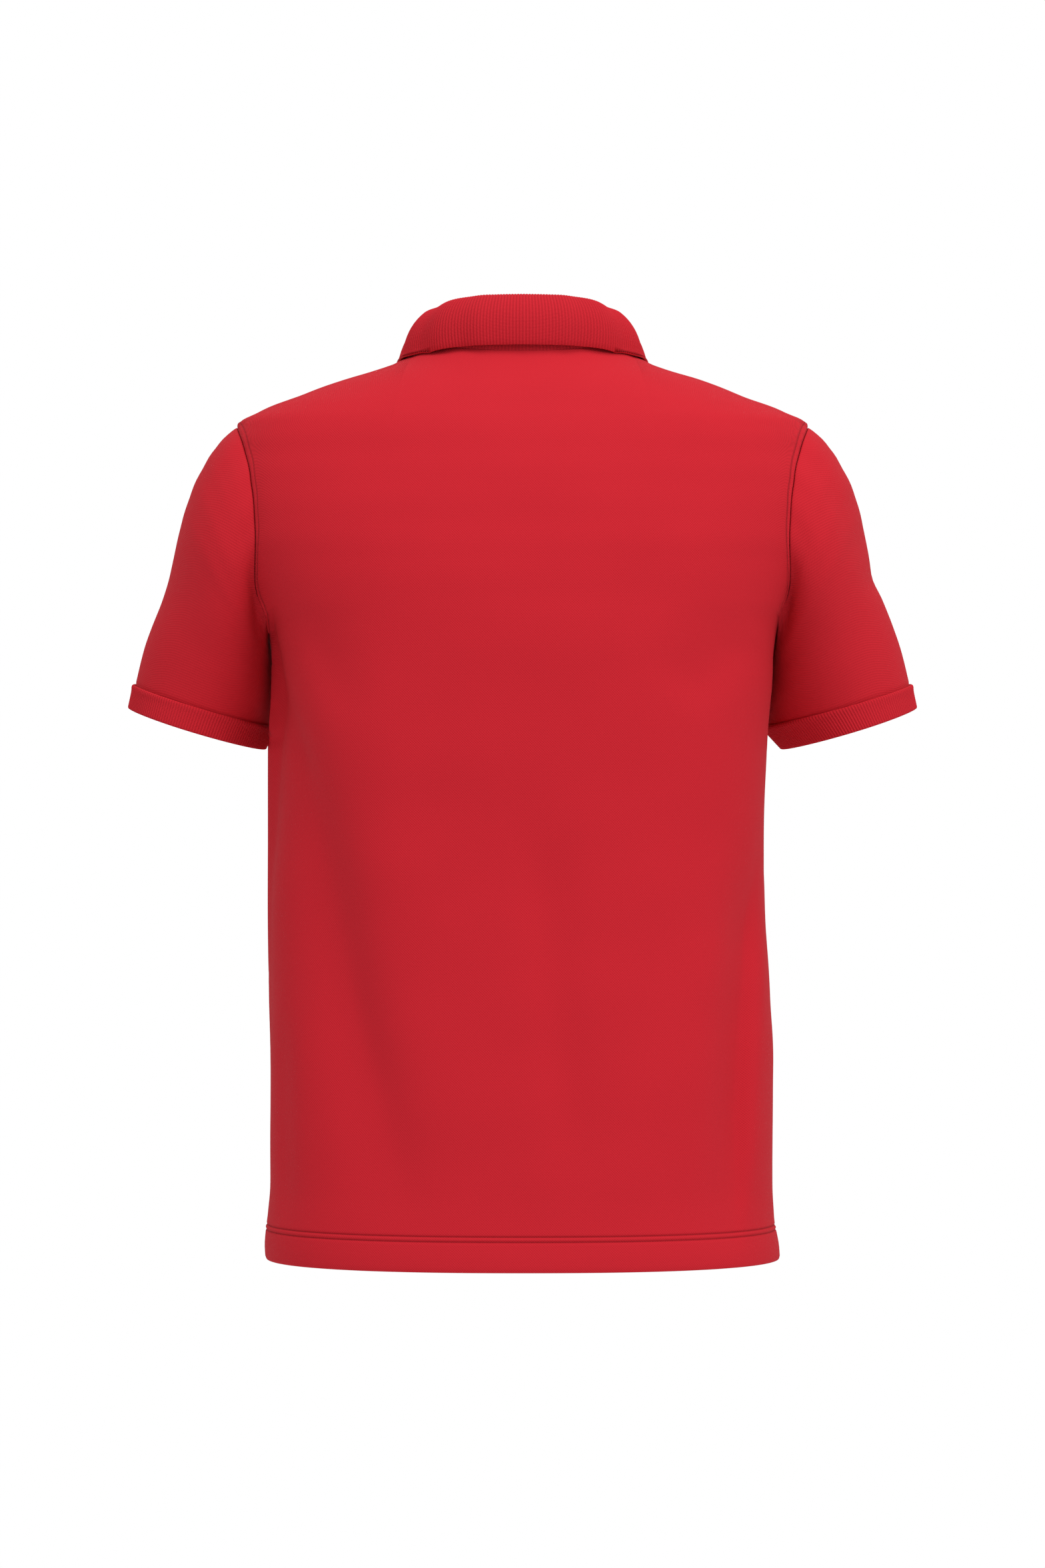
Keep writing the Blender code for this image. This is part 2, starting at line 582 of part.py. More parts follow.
def collar_base(panels, around, hand):
    """The neckline that half the collar is sewn to, and the body's way out there."""
    places, points, ways = [], [], []
    for side, first in ((BACK, 0.0), (FRONT, 0.5)):
        grid, outward = panels[side]
        from_shoulder = slice(SHOULDER_COLUMNS, SHOULDER_COLUMNS + NECK_COLUMNS // 2 + 1)
        neck = grid[-1, ::hand][from_shoulder]
        way = outward[-1, ::hand][from_shoulder]
        share = first + np.linspace(0, 0.5, len(neck))
        if side == BACK:
            neck, way = neck[::-1], way[::-1]
        places.append(share[side == FRONT:])
        points.append(neck[side == FRONT:])
        ways.append(way[side == FRONT:])
    places, points, ways = [np.concatenate(part) for part in (places, points, ways)]
    neck = np.stack([np.interp(around, places, points[:, axis]) for axis in range(3)], axis=-1)
    way = np.stack([np.interp(around, places, ways[:, axis]) for axis in range(3)], axis=-1)
    return neck, unit(way)


def collar_stations():
    """Lengths along the fall and how far round they lie: fine for the ribs, and plain."""
    around = np.linspace(0, COLLAR_END, 400)
    columns = ("fold_x", "fold_y", "fold_height", "edge_x", "edge_y", "edge_height")
    lines = np.stack([read_column(COLLAR_LINES, name, around) for name in columns], axis=-1)
    middle = (lines[:, :3] + lines[:, 3:]) / 2
    lengths = np.concatenate([[0], np.cumsum(np.linalg.norm(np.diff(middle, axis=0), axis=1))])
    knots = np.linspace(0, 1, NECK_COLUMNS * 2 + 1)
    knots = np.append(knots[knots < COLLAR_END], COLLAR_END)
    half = np.interp(knots, around, lengths)
    plain = np.concatenate([-half[::-1], half[1:]])
    fine = np.linspace(-lengths[-1], lengths[-1], COLLAR_RIBS * 2 + 1)
    return [(places, np.interp(np.abs(places), lengths, around)) for places in (fine, plain)]


def collar_middle(panels, places, around):
    """The middle of the collar's wall, from the neckline up, over the fold and down.

    Also gives the body's way out along the neckline, which the collar's seam shares.
    """
    hand = np.where(places < 0, RIGHT, LEFT)
    to_left = (hand == LEFT)[:, None]
    left, right = [collar_base(panels, around, side) for side in (LEFT, RIGHT)]
    neck = np.where(to_left, left[0], right[0])
    neck_out = np.where(to_left, left[1], right[1])
    mirror = np.stack([hand, np.ones(len(hand)), np.ones(len(hand))], axis=-1)
    fold = mirror * np.stack([read_column(COLLAR_LINES, name, around)
                              for name in ("fold_x", "fold_y", "fold_height")], axis=-1)
    edge = mirror * np.stack([read_column(COLLAR_LINES, name, around)
                              for name in ("edge_x", "edge_y", "edge_height")], axis=-1)
    run = unit((edge - fold) * [1, 1, 0])
    up = np.array([0.0, 0.0, 1.0])
    off_panel = unit(np.cross(neck_out, np.gradient(neck, axis=0)))
    off_panel = off_panel * np.sign(off_panel[:, 2:])
    base = neck + off_panel * SEAM_GAP * 1.15 - neck_out * RIB_CLOTH / 2
    top = fold - up * FOLD_RADIUS
    rows = [base + (top - run * FOLD_RADIUS - base) * share for share in (0.0, 0.5, 1.0)]
    for turn in (math.pi / 3, 2 * math.pi / 3):
        rows.append(top + FOLD_RADIUS * (math.sin(turn) * up - math.cos(turn) * run))
    start = top + run * FOLD_RADIUS
    control = start + (edge - start) * 0.35 + run * FALL_BULGE
    for share in (0.0, 0.5, 1.0):
        rows.append(start * (1 - share) ** 2 + control * 2 * share * (1 - share) + edge * share ** 2)
    return lift_fall(np.stack(rows)), neck_out


def collar_faces(middle, neck_out):
    """The collar's face and its underside, and the way its face looks."""
    face_out = unit(np.cross(np.gradient(middle, axis=0), np.gradient(middle, axis=1)))
    if face_out[-1, middle.shape[1] // 2, 1] < 0:
        face_out = -face_out
    face_out[0] = -neck_out
    return middle + face_out * RIB_CLOTH / 2, middle - face_out * RIB_CLOTH / 2, face_out


def lift_fall(grid):
    """Move the fall's points out until its wall clears the shoulders and the chest."""
    for row, clearance in ((-2, FALL_CLEARANCE), (-1, EDGE_CLEARANCE)):
        need = clearance + RIB_CLOTH / 2
        for _ in range(6):
            slope = body_slope(grid[row])
            steep = np.linalg.norm(slope, axis=-1)
            away = (body_measure(grid[row]) - 1) / steep
            low_enough = grid[row][:, 2] < NECK_SIDE_HEIGHT - 0.002
            push = np.where(low_enough, np.clip(need - away, 0, None), 0)
            grid[row] = grid[row] + slope / steep[:, None] * push[:, None]
    return grid


def build_collar(panels, look, shirt):
    """The ribbed collar: stand, fold and fall in one wall, ribs on the fall's face."""
    (fine_places, fine_around), (places, around) = collar_stations()
    fine_middle, fine_out = collar_middle(panels, fine_places, fine_around)
    fine_face, _, ribs_out = collar_faces(fine_middle, fine_out)
    face, back, _ = collar_faces(*collar_middle(panels, places, around))
    first_rib_row = len(face) - FALL_ROWS
    loops = [(row, places) for row in face[:first_rib_row]]
    for row, out in zip(fine_face[first_rib_row:], ribs_out[first_rib_row:]):
        loops.append((raise_ribs(row - out * RIB_HEIGHT / 2, out), fine_places))
    loops += [(row, places) for row in back[::-1]]
    mesh = bmesh.new()
    lines = [([mesh.verts.new(point) for point in row], where) for row, where in loops]
    for first, second in zip(lines, lines[1:] + lines[:1]):
        join_lines(mesh, first, second)
    caps = [mesh.faces.new([line[end] for line, _ in lines]) for end in (0, -1)]
    bmesh.ops.triangulate(mesh, faces=caps)
    add_piece("collar", mesh, look, shirt)


def build_placket(panels, slit_row, look, shirt):
    """The band that fills the slit, and the band behind it."""
    grid, outward = panels[FRONT]
    centre = grid.shape[1] // 2
    strip = grid[slit_row:, centre - 1:centre + 2].copy()
    ways = outward[slit_row:, centre - 1:centre + 2]
    strip[:, 0, 0] -= SEAM_GAP
    strip[:, 2, 0] += SEAM_GAP
    strip[0, :, 2] += SEAM_GAP
    top = strip + ways * PLACKET_PROUD
    cloth_wall("placket_top", top, top - ways * PLACKET_CLOTH, look, shirt)
    reach = PLACKET_HALF_WIDTH + UNDER_EXTRA
    x = np.array([reach, reach / 2, 0.0, -reach / 2, -reach])
    z = grid[slit_row:, centre, 2].copy()
    z[0] -= UNDER_EXTRA
    wide = body_point(x[None, :] + 0 * z[:, None], z[:, None] + 0 * x[None, :], FRONT)
    sides = unit(body_slope(wide))
    sunk = max(CLOTH, PLACKET_CLOTH - PLACKET_PROUD) + UNDER_GAP
    outer = wide - sides * sunk
    cloth_wall("placket_under", outer, outer - sides * CLOTH, look, shirt)


def build_button(name, height, look, shirt, cutters):
    """A four-hole button, turned from its profile, lying on the placket."""
    spot = body_point(np.array(0.0), np.array(height), FRONT)
    way = unit(body_slope(spot))
    rim = BUTTON_DEPTH
    dish = BUTTON_DEPTH * 0.62
    profile = ((0.0, dish), (BUTTON_RADIUS * 0.62, dish), (BUTTON_RADIUS * 0.74, rim),
               (BUTTON_RADIUS * 0.92, rim), (BUTTON_RADIUS, rim * 0.6),
               (BUTTON_RADIUS * 0.86, 0.0), (0.0, 0.0))
    mesh = bmesh.new()
    points = [mesh.verts.new((radius, 0, level)) for radius, level in profile]
    for first, second in zip(points, points[1:]):
        mesh.edges.new((first, second))
    button = add_piece(name, mesh, look, shirt)
    turned = button.modifiers.new("turned", "SCREW")
    turned.steps = 16
    turned.render_steps = 16
    turned.use_merge_vertices = True
    turned.merge_threshold = 0.00001
    tilt = math.atan2(way[2], -way[1])
    lift = PLACKET_PROUD + SEAM_GAP * 1.5
    button.location = spot + way * lift
    button.rotation_euler = (math.pi / 2 - tilt, 0, 0)
    for number in range(4):
        turn = math.pi / 4 + number * math.pi / 2
        hole = bmesh.new()
        bmesh.ops.create_cone(hole, cap_ends=True, segments=8, radius1=HOLE_RADIUS,
                              radius2=HOLE_RADIUS, depth=BUTTON_DEPTH * 4)
        cutter = add_piece(f"{name}_hole_{number}", hole, look, cutters)
        cutter.parent = button
        cutter.location = (HOLE_OFFSET * math.cos(turn), HOLE_OFFSET * math.sin(turn), 0)
        cutter.hide_render = True
        cutter.display_type = "WIRE"
        cut = button.modifiers.new(f"hole_{number}", "BOOLEAN")
        cut.object = cutter
        cut.operation = "DIFFERENCE"


def main():
    shirt, cutters = start_scene()
    pique = make_material("pique", RED, 0.85)
    rib = make_material("rib_knit", DEEP_RED, 0.88)
    shiny = make_material("button", BUTTON_RED, 0.35)
    panels, slit_row = build_panels(shirt, pique)
    build_cuff("cuff_left", LEFT, rib, shirt)
    build_cuff("cuff_right", RIGHT, rib, shirt)
    build_collar(panels, rib, shirt)
    build_placket(panels, slit_row, pique, shirt)
    for number, height in enumerate(BUTTON_HEIGHTS, start=1):
        build_button(f"button_{number}", height, shiny, shirt, cutters)


main()
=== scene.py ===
"""Red polo shirt, filled out and hollow, seen from behind.

The wearer's left is +X, the front faces -Y and +Z is up. Lengths are in metres.
"""

import math
from collections import namedtuple

import bmesh
import bpy
import numpy as np
from mathutils import Matrix, Vector


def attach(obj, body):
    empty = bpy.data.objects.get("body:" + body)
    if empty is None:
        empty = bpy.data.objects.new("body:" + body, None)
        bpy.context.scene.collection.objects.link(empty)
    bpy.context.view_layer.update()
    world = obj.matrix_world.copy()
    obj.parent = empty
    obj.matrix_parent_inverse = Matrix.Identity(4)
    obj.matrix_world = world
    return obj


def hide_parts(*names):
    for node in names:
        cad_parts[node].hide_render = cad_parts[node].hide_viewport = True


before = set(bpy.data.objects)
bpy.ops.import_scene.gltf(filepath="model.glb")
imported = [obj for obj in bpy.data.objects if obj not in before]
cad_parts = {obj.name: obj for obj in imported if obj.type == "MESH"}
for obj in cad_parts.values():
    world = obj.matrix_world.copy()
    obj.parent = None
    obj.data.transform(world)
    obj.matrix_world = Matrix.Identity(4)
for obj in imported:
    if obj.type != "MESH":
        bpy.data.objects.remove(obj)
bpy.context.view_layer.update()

# ---- cloth and seams ----
CLOTH = 0.0015
TURNED_CLOTH = 0.0026
RIB_CLOTH = 0.0022
SEAM_GAP = 0.0003
HEM_FOLD = (0.0277, 0.0285)             # the turned hem thins out between these heights
HEM_LINES = (0.0234, 0.0274)            # the two rows of stitching above the hem's edge
ARMHOLE_STITCHING = 0.0068              # from the armhole seam, on the body

# ---- seams and stitching: how deep each presses the cloth in, and how wide ----
SIDE_SEAM = (0.0010, 0.0015)
SHOULDER_SEAM = (0.0008, 0.0014)
ARMHOLE_SEAM = (0.0006, 0.0009)
ARMHOLE_ROW = (0.0004, 0.0007)
ARMHOLE_WELT = (-0.0005, 0.0018)        # welts and swells stand out
HEM_ROW = (0.0009, 0.0007)
HEM_WELT = (-0.0003, 0.0010)
HEM_SWELL = (-0.0006, 0.0080)
HEM_EDGE = (0.0008, 0.0010)
SLEEVE_SEAM = (0.0005, 0.0009)
CUFF_SEAM = (0.0004, 0.0010)
CUFF_SWELL = (-0.0006, 0.10)            # this width is a share of the cuff's depth
PLACKET_EDGE = (0.0005, 0.0006)
PLACKET_ROW = (0.00045, 0.0007)
HEM_SEWING = {"spacing": 0.0031, "length": 0.0026, "sink": 0.00012}
ARMHOLE_SEWING = {"spacing": 0.0029, "length": 0.0024, "sink": 0.00012}
PLACKET_SEWING = {"spacing": 0.0026, "length": 0.0021}
BUTTON_SEWING = {"spacing": 0.00035, "length": 0.0007, "width": 0.0005, "sink": 0}

# ---- how far from seams and edges the cloth stays calm, and where two walls join as one ----
SIDE_CALM = 0.022
TOP_CALM = 0.030
ARMHOLE_CALM = 0.025
CUFF_CALM = 0.030
HEM_CALM = 0.004
SAME_WAY = (-0.35, 0.25)                # from walls folded together to walls on one bend

# ---- body ----
HEM_HEIGHT = -0.708
UNDERARM_HEIGHT = -0.2155
SHOULDER_POINT = (0.2258, -0.052)
NECK_HALF_WIDTH = 0.082
NECK_SIDE_HEIGHT = 0.0115
NECK_BACK_HEIGHT = 0.0035
NECK_FRONT_HEIGHT = -0.075
NECK_FRONT_CURVE = 1.4
NECK_FRONT_SPACING = 1.45              # draws the front neckline's columns towards the shoulder
BACK, FRONT = 1, -1
LEFT, RIGHT = 1, -1

Section = namedtuple("Section", "height left right back front fullness")
BODY_SECTIONS = [Section(*row) for row in (
    (-0.7080, 0.2032, 0.2032, 0.138, 0.142, 2.40),
    (-0.6900, 0.2028, 0.2008, 0.136, 0.140, 2.40),
    (-0.6720, 0.2010, 0.1984, 0.134, 0.138, 2.40),
    (-0.6400, 0.1993, 0.1977, 0.132, 0.136, 2.42),
    (-0.5750, 0.1992, 0.1981, 0.130, 0.134, 2.45),
    (-0.5000, 0.2008, 0.1958, 0.127, 0.132, 2.45),
    (-0.4000, 0.2018, 0.1910, 0.125, 0.131, 2.45),
    (-0.3100, 0.2018, 0.1934, 0.128, 0.133, 2.45),
    (-0.2500, 0.1990, 0.1972, 0.130, 0.133, 2.45),
    (-0.2155, 0.2011, 0.2003, 0.131, 0.131, 2.45),
    (-0.1900, 0.2120, 0.2115, 0.130, 0.129, 2.42),
    (-0.1600, 0.2260, 0.2255, 0.128, 0.126, 2.40),
    (-0.1300, 0.2340, 0.2335, 0.124, 0.121, 2.40),
    (-0.1000, 0.2360, 0.2355, 0.118, 0.115, 2.40),
    (-0.0750, 0.2330, 0.2325, 0.111, 0.108, 2.38),
    (-0.0520, 0.2258, 0.2258, 0.103, 0.100, 2.36),
    (-0.0412, 0.2100, 0.2088, 0.097, 0.094, 2.35),
    (-0.0285, 0.1772, 0.1762, 0.090, 0.088, 2.32),
    (-0.0158, 0.1442, 0.1428, 0.081, 0.080, 2.30),
    (-0.0060, 0.1135, 0.1120, 0.073, 0.074, 2.25),
    (0.0000, 0.0978, 0.0978, 0.068, 0.070, 2.22),
    (0.0060, 0.0880, 0.0880, 0.064, 0.066, 2.20),
    (0.0115, 0.0820, 0.0820, 0.060, 0.062, 2.20),
)]

Armhole = namedtuple("Armhole", "height back front")
ARMHOLES = [Armhole(*row) for row in (
    (-0.2155, 0.2040, 0.2040),
    (-0.2034, 0.2022, 0.2006),
    (-0.1860, 0.2078, 0.2045),
    (-0.1710, 0.2088, 0.2035),
    (-0.1480, 0.2076, 0.2015),
    (-0.1270, 0.2084, 0.2020),
    (-0.1000, 0.2113, 0.2062),
    (-0.0759, 0.2166, 0.2132),
    (-0.0520, 0.2258, 0.2258),
)]

# ---- sleeves and cuffs ----
Ring = namedtuple("Ring", "along outer outer_height inner_left inner_right inner_height"
                          " back front tilt swing")
SLEEVE_RINGS = [Ring(*row) for row in (
    (0.00, 0.2258, -0.0520, 0.2011, 0.2003, -0.2155, 0.0687, -0.0730, 0.0, 0.000),
    (0.05, 0.2345, -0.0590, 0.2010, 0.2002, -0.2190, 0.0700, -0.0738, 0.0, 0.008),
    (0.10, 0.2415, -0.0668, 0.2005, 0.1996, -0.2227, 0.0706, -0.0742, 0.0, 0.016),
    (0.19, 0.2523, -0.0833, 0.1993, 0.1982, -0.2292, 0.0708, -0.0745, 0.6, 0.027),
    (0.31, 0.2635, -0.1080, 0.1979, 0.1963, -0.2379, 0.0690, -0.0745, 1.2, 0.037),
    (0.43, 0.2708, -0.1330, 0.1970, 0.1952, -0.2465, 0.0640, -0.0735, 1.8, 0.043),
    (0.55, 0.2771, -0.1590, 0.1966, 0.1944, -0.2552, 0.0575, -0.0720, 2.4, 0.045),
    (0.67, 0.2848, -0.1850, 0.1966, 0.1935, -0.2639, 0.0505, -0.0710, 3.0, 0.045),
    (0.79, 0.2940, -0.2095, 0.1970, 0.1926, -0.2725, 0.0440, -0.0705, 3.3, 0.045),
    (0.90, 0.3017, -0.2330, 0.1984, 0.1925, -0.2805, 0.0380, -0.0702, 3.5, 0.045),
    (1.00, 0.3075, -0.2540, 0.1999, 0.1930, -0.2872, 0.0335, -0.0705, 3.5, 0.045),
)]
CUFF_RINGS = [Ring(*row) for row in (
    (0.00, 0.3098, -0.2540, 0.1978, 0.1909, -0.2876, 0.0353, -0.0725, 3.5, 0.045),
    (1.00, 0.3140, -0.2733, 0.2063, 0.2080, -0.3065, 0.0358, -0.0770, 3.5, 0.043),
)]
ARMHOLE_FADE = 0.42             # the share of a sleeve that eases out of the armhole's line
UNDERARM_RISE = 0.0121          # over this height the armhole leaves the body's side line
UNDERARM_LEAVE = 0.0137         # by this share of its width
UNDERARM_POWER = 2.2
ARMHOLE_TOP = 0.006             # and over this height it comes back to the shoulder
CUFF_DEPTH = 0.020
SLEEVE_TURN = 2.6               # how closely the swing keeps to the sleeve's inner line
SLEEVE_TUCK = 1.024             # how far along a sleeve its end is tucked inside the cuff
TUCK_SPREAD = 0.0013            # how far that end spreads, to meet the cuff's wall

# ---- collar ----
CollarLine = namedtuple("CollarLine", "around fold_x fold_y fold_height edge_x edge_y edge_height")
COLLAR_LINES = [CollarLine(*row) for row in (
    (0.00, 0.0000, 0.0590, 0.0475, 0.0000, 0.0695, 0.0084),
    (0.10, 0.0205, 0.0570, 0.0472, 0.0235, 0.0672, 0.0082),
    (0.20, 0.0400, 0.0520, 0.0460, 0.0460, 0.0600, 0.0076),
    (0.35, 0.0640, 0.0300, 0.0405, 0.0785, 0.0376, 0.0026),
    (0.50, 0.0748, -0.0020, 0.0350, 0.0951, 0.0000, -0.0010),
    (0.62, 0.0735, -0.0340, 0.0240, 0.0995, -0.0460, -0.0085),
    (0.75, 0.0620, -0.0620, 0.0015, 0.0880, -0.0850, -0.0340),
    (0.88, 0.0380, -0.0840, -0.0290, 0.0680, -0.1090, -0.0800),
    (1.00, 0.0025, -0.0985, -0.0490, 0.0340, -0.1180, -0.1060),
)]
FOLD_RADIUS = 0.0050
FOLD_TURN = math.radians(126)      # how far round the collar's fold turns before the fall
FALL_CONTROL = 0.33                # where on its way down the fall bulges, and how far
FALL_BULGE = 0.0108
FALL_LIFTED = 0.35                 # below this share the fall is held clear of the body
LIFT_ROUNDS = 5
LIFT_BLEND = 0.004
FALL_CLEARANCE = 0.0030
EDGE_CLEARANCE = 0.0007
COLLAR_END = 0.985
COLLAR_STATIONS = 400
FALL_RIM = (1.004, 1.007, 1.009)        # rows that round the fall's edge, and their thickness
FALL_RIM_THIN = (0.85, 0.55, 0.12)

# ---- ribs ----
COLLAR_RIBS = 248
CUFF_RIBS = 160
RIB_POINTS = 6                          # points across one rib
RIB_HEIGHT = 0.0005
INNER_RIBS = 0.6                        # how high they stand on the inside, as a share
RIM_ROUND = 0.0012                      # how far from its rims a cuff is rounded

# ---- placket and buttons ----
PLACKET_HALF_WIDTH = 0.0145
PLACKET_LENGTH = 0.150
PLACKET_CLOTH = 0.0022
PLACKET_PROUD = 0.0006
PLACKET_STITCHING = 0.0018              # from the band's edge
PLACKET_BOX = 0.022                     # height of the stitched box at its foot
UNDER_EXTRA = 0.0035
UNDER_GAP = 0.0007
BUTTON_HEIGHTS = (-0.098, -0.143, -0.188)
BUTTON_RADIUS = 0.0055
BUTTON_DEPTH = 0.0026
HOLE_RADIUS = 0.0008
HOLE_OFFSET = 0.0013
BUTTONHOLE_HALF = 0.0075
THREAD_RISE = 0.00035                   # how high a button's thread arches over it
THREAD_PLUNGE = 0.0010                  # how deep it goes into the holes
STRAND_GAP = 0.00022
BUTTON_PROFILE = (                      # radius and level, as shares of the button's own
    (0.0, 0.62), (0.30, 0.62 * 1.01), (0.56, 0.62 * 1.04), (0.64, 0.62 * 1.12), (0.70, 0.88),
    (0.76, 0.98), (0.83, 1.0), (0.90, 0.97), (0.96, 0.86), (1.0, 0.62), (0.985, 0.40),
    (0.93, 0.16), (0.84, 0.02), (0.60, 0.0), (0.0, 0.0),
)

# ---- how finely the cloth is laid out ----
EDGE_SHARES = (0.0, 0.005, 0.012, 0.022, 0.030, 0.036, 0.040, 0.044, 0.050, 0.060, 0.075,
               0.095, 0.120, 0.150, 0.180)
SHOULDER_SHARES = np.concatenate([EDGE_SHARES, np.linspace(0.21, 1.0, 24)])
SHOULDER_TURN = 5 / 11          # the seam's share of the columns' way round the hem
NECK_STEPS = 44
CENTRE_STEPS = 8
SPREAD_POWER = 0.6
HEM_ROWS = (0.0, 0.0008, 0.0022, 0.005, 0.009, 0.013, 0.017, 0.0202, 0.0218, 0.0227, 0.0234,
            0.0241, 0.0249, 0.0259, 0.0267, 0.0274, 0.0281, 0.0290, 0.0305, 0.0335, 0.0375)
SEAM_STEPS = 104
ARMHOLE_STEPS = 46
SLEEVE_STEPS = 46
SEAM_ROW = len(HEM_ROWS) + SEAM_STEPS - 1       # the row at the underarm
SHOULDER_COUNT = len(SHOULDER_SHARES)
SEAM_BLEND = 5                  # columns over which two walls come to share a direction
STAND_ROWS = 7
TURN_ROWS = 6
FALL_ROWS = 12

# ---- creases: how deep, their reach towards the middle and away from it, and the (x, height)
# places that each runs through; a depth below zero is a ridge ----
Crease = namedtuple("Crease", "side depth inner outer path")
CREASE_START = (-0.02, 0.30)            # shares of its path over which a crease deepens
CREASE_END = (-0.02, 0.34)
BODY_CREASES = [Crease(*row) for row in (
    (BACK, 0.0128, 0.027, 0.043, ((0.248, -0.125), (0.224, -0.190), (0.200, -0.280),
        (0.179, -0.335), (0.160, -0.398), (0.149, -0.450), (0.136, -0.515), (0.122, -0.560),
        (0.108, -0.610), (0.094, -0.655), (0.080, -0.700))),
    (BACK, -0.0007, 0.016, 0.024, ((0.190, -0.370), (0.176, -0.460), (0.163, -0.550),
        (0.146, -0.620), (0.122, -0.690))),
    (BACK, 0.0026, 0.009, 0.006, ((0.190, -0.500), (0.1885, -0.570), (0.186, -0.650),
        (0.183, -0.690))),
    (BACK, -0.0030, 0.032, 0.032, ((0.125, -0.235), (0.106, -0.340), (0.092, -0.460))),
    (BACK, 0.0034, 0.020, 0.024, ((-0.008, -0.330), (-0.016, -0.400), (-0.028, -0.520),
        (-0.042, -0.680))),
    (BACK, 0.0108, 0.024, 0.0055, ((-0.187, -0.360), (-0.1825, -0.440), (-0.176, -0.530),
        (-0.170, -0.640), (-0.163, -0.705))),
    (BACK, 0.0028, 0.026, 0.022, ((-0.180, -0.212), (-0.152, -0.238), (-0.116, -0.276))),
    (BACK, -0.0007, 0.014, 0.018, ((-0.190, -0.228), (-0.168, -0.256), (-0.140, -0.286))),
    (BACK, -0.0010, 0.012, 0.012, ((0.192, -0.204), (0.176, -0.230), (0.160, -0.258))),
    (BACK, 0.0026, 0.022, 0.018, ((0.176, -0.200), (0.154, -0.240), (0.122, -0.290))),
    (BACK, 0.0030, 0.010, 0.013, ((0.212, -0.232), (0.200, -0.262), (0.190, -0.287),
        (0.180, -0.312), (0.170, -0.345))),
    (FRONT, 0.0070, 0.024, 0.018, ((-0.196, -0.245), (-0.176, -0.310), (-0.150, -0.400),
        (-0.124, -0.500), (-0.092, -0.610))),
    (FRONT, 0.0060, 0.022, 0.017, ((0.197, -0.245), (0.176, -0.320), (0.154, -0.410),
        (0.132, -0.490), (0.106, -0.580))),
    (FRONT, -0.0035, 0.016, 0.022, ((-0.184, -0.380), (-0.160, -0.500), (-0.134, -0.640))),
    (FRONT, 0.0028, 0.028, 0.028, ((0.040, -0.320), (0.030, -0.450), (0.024, -0.640))),
    (FRONT, 0.0040, 0.012, 0.008, ((0.186, -0.400), (0.178, -0.520), (0.170, -0.680))),
    (FRONT, 0.0032, 0.014, 0.011, ((0.176, -0.205), (0.150, -0.232), (0.118, -0.262))),
    (FRONT, 0.0030, 0.013, 0.011, ((-0.174, -0.202), (-0.148, -0.232), (-0.114, -0.270))),
)]
SLEEVE_CREASES = [Crease(*row) for row in (
    (BACK, -0.0030, 0.016, 0.020, ((0.212, -0.135), (0.222, -0.168), (0.236, -0.205),
        (0.250, -0.235))),
    (FRONT, 0.0030, 0.016, 0.012, ((0.204, -0.200), (0.230, -0.204), (0.256, -0.190))),
    (FRONT, 0.0025, 0.014, 0.014, ((0.224, -0.110), (0.240, -0.150), (0.266, -0.205))),
    (BACK, 0.0022, 0.014, 0.016, ((-0.240, -0.095), (-0.256, -0.130), (-0.270, -0.170))),
    (BACK, -0.0012, 0.016, 0.022, ((-0.213, -0.130), (-0.226, -0.165), (-0.242, -0.200),
        (-0.256, -0.230))),
    (FRONT, 0.0030, 0.016, 0.012, ((-0.204, -0.202), (-0.228, -0.206), (-0.252, -0.196))),
    (FRONT, 0.0024, 0.014, 0.015, ((-0.222, -0.115), (-0.238, -0.160), (-0.262, -0.210))),
)]

# ---- the slight unevenness of hanging cloth: waves as height, run along each axis, start ----
WANDER_HEIGHT = 0.00035
WANDER_WAVES = (
    (1.0, (41, 0, 23), 1.3), (1.0, (29, 31, -47), 0.4),
    (0.6, (83, -19, 37), 2.1), (0.5, (17, 0, 91), 4.0),
)

# ---- the dent in the outline of the right sleeve ----
DENT_PLACE = (-0.279, -0.171)   # x and height
DENT_DEPTH = 0.0024
DENT_WIDTH = 0.013

# ---- colours ----
# The dark colours are reached by painted shade in the knit's pits and rib dips and along seams and
# stitching, and partly by the yarn's random tone
PIQUE_BRIGHT = (0.606, 0.0154, 0.0274, 1.0)
PIQUE_DARK = (0.400, 0.0093, 0.0170, 1.0)
RIB_BRIGHT = (0.640, 0.0168, 0.0300, 1.0)
RIB_DARK = (0.350, 0.0084, 0.0150, 1.0)
THREAD_RED = (0.430, 0.0130, 0.0220, 1.0)
BUTTON_RED = (0.420, 0.0140, 0.0220, 1.0)
KNIT_RELIEF = 0.00020
UNEVENNESS = 0.09               # how much the yarn's colour wanders
# how dark the painted shade along the seam and the rows of stitching is
SEWN_SHADE = 0.85
SEWN_DEPTH = 1.6
YARN_SPOTS = 2200.0             # spots a metre
SOFT_SPOTS = 26.0
SEWN_LINES = (                  # painted shade in the cloth along the armhole seam and the rows of stitching: axis of the edges map, place, width
    ("X", ARMHOLE_STITCHING, 0.00070), ("X", 0.0, 0.0009),
    ("Y", HEM_LINES[0], 0.00055), ("Y", HEM_LINES[1], 0.00055),
)

# ---- camera and lights ----
CAMERA_PLACE = (0.0, 4.0, -0.334)
CAMERA_LENS = 116.0
AREA_LIGHTS = (                 # name, place, aim, size, power
    ("key", (-2.2, 2.8, 2.2), (0, 0, -0.3), 1.8, 60),
    ("above", (0.2, 1.2, 3.0), (0, 0, -0.2), 2.0, 46),
)


# ---- the shirt's form ----

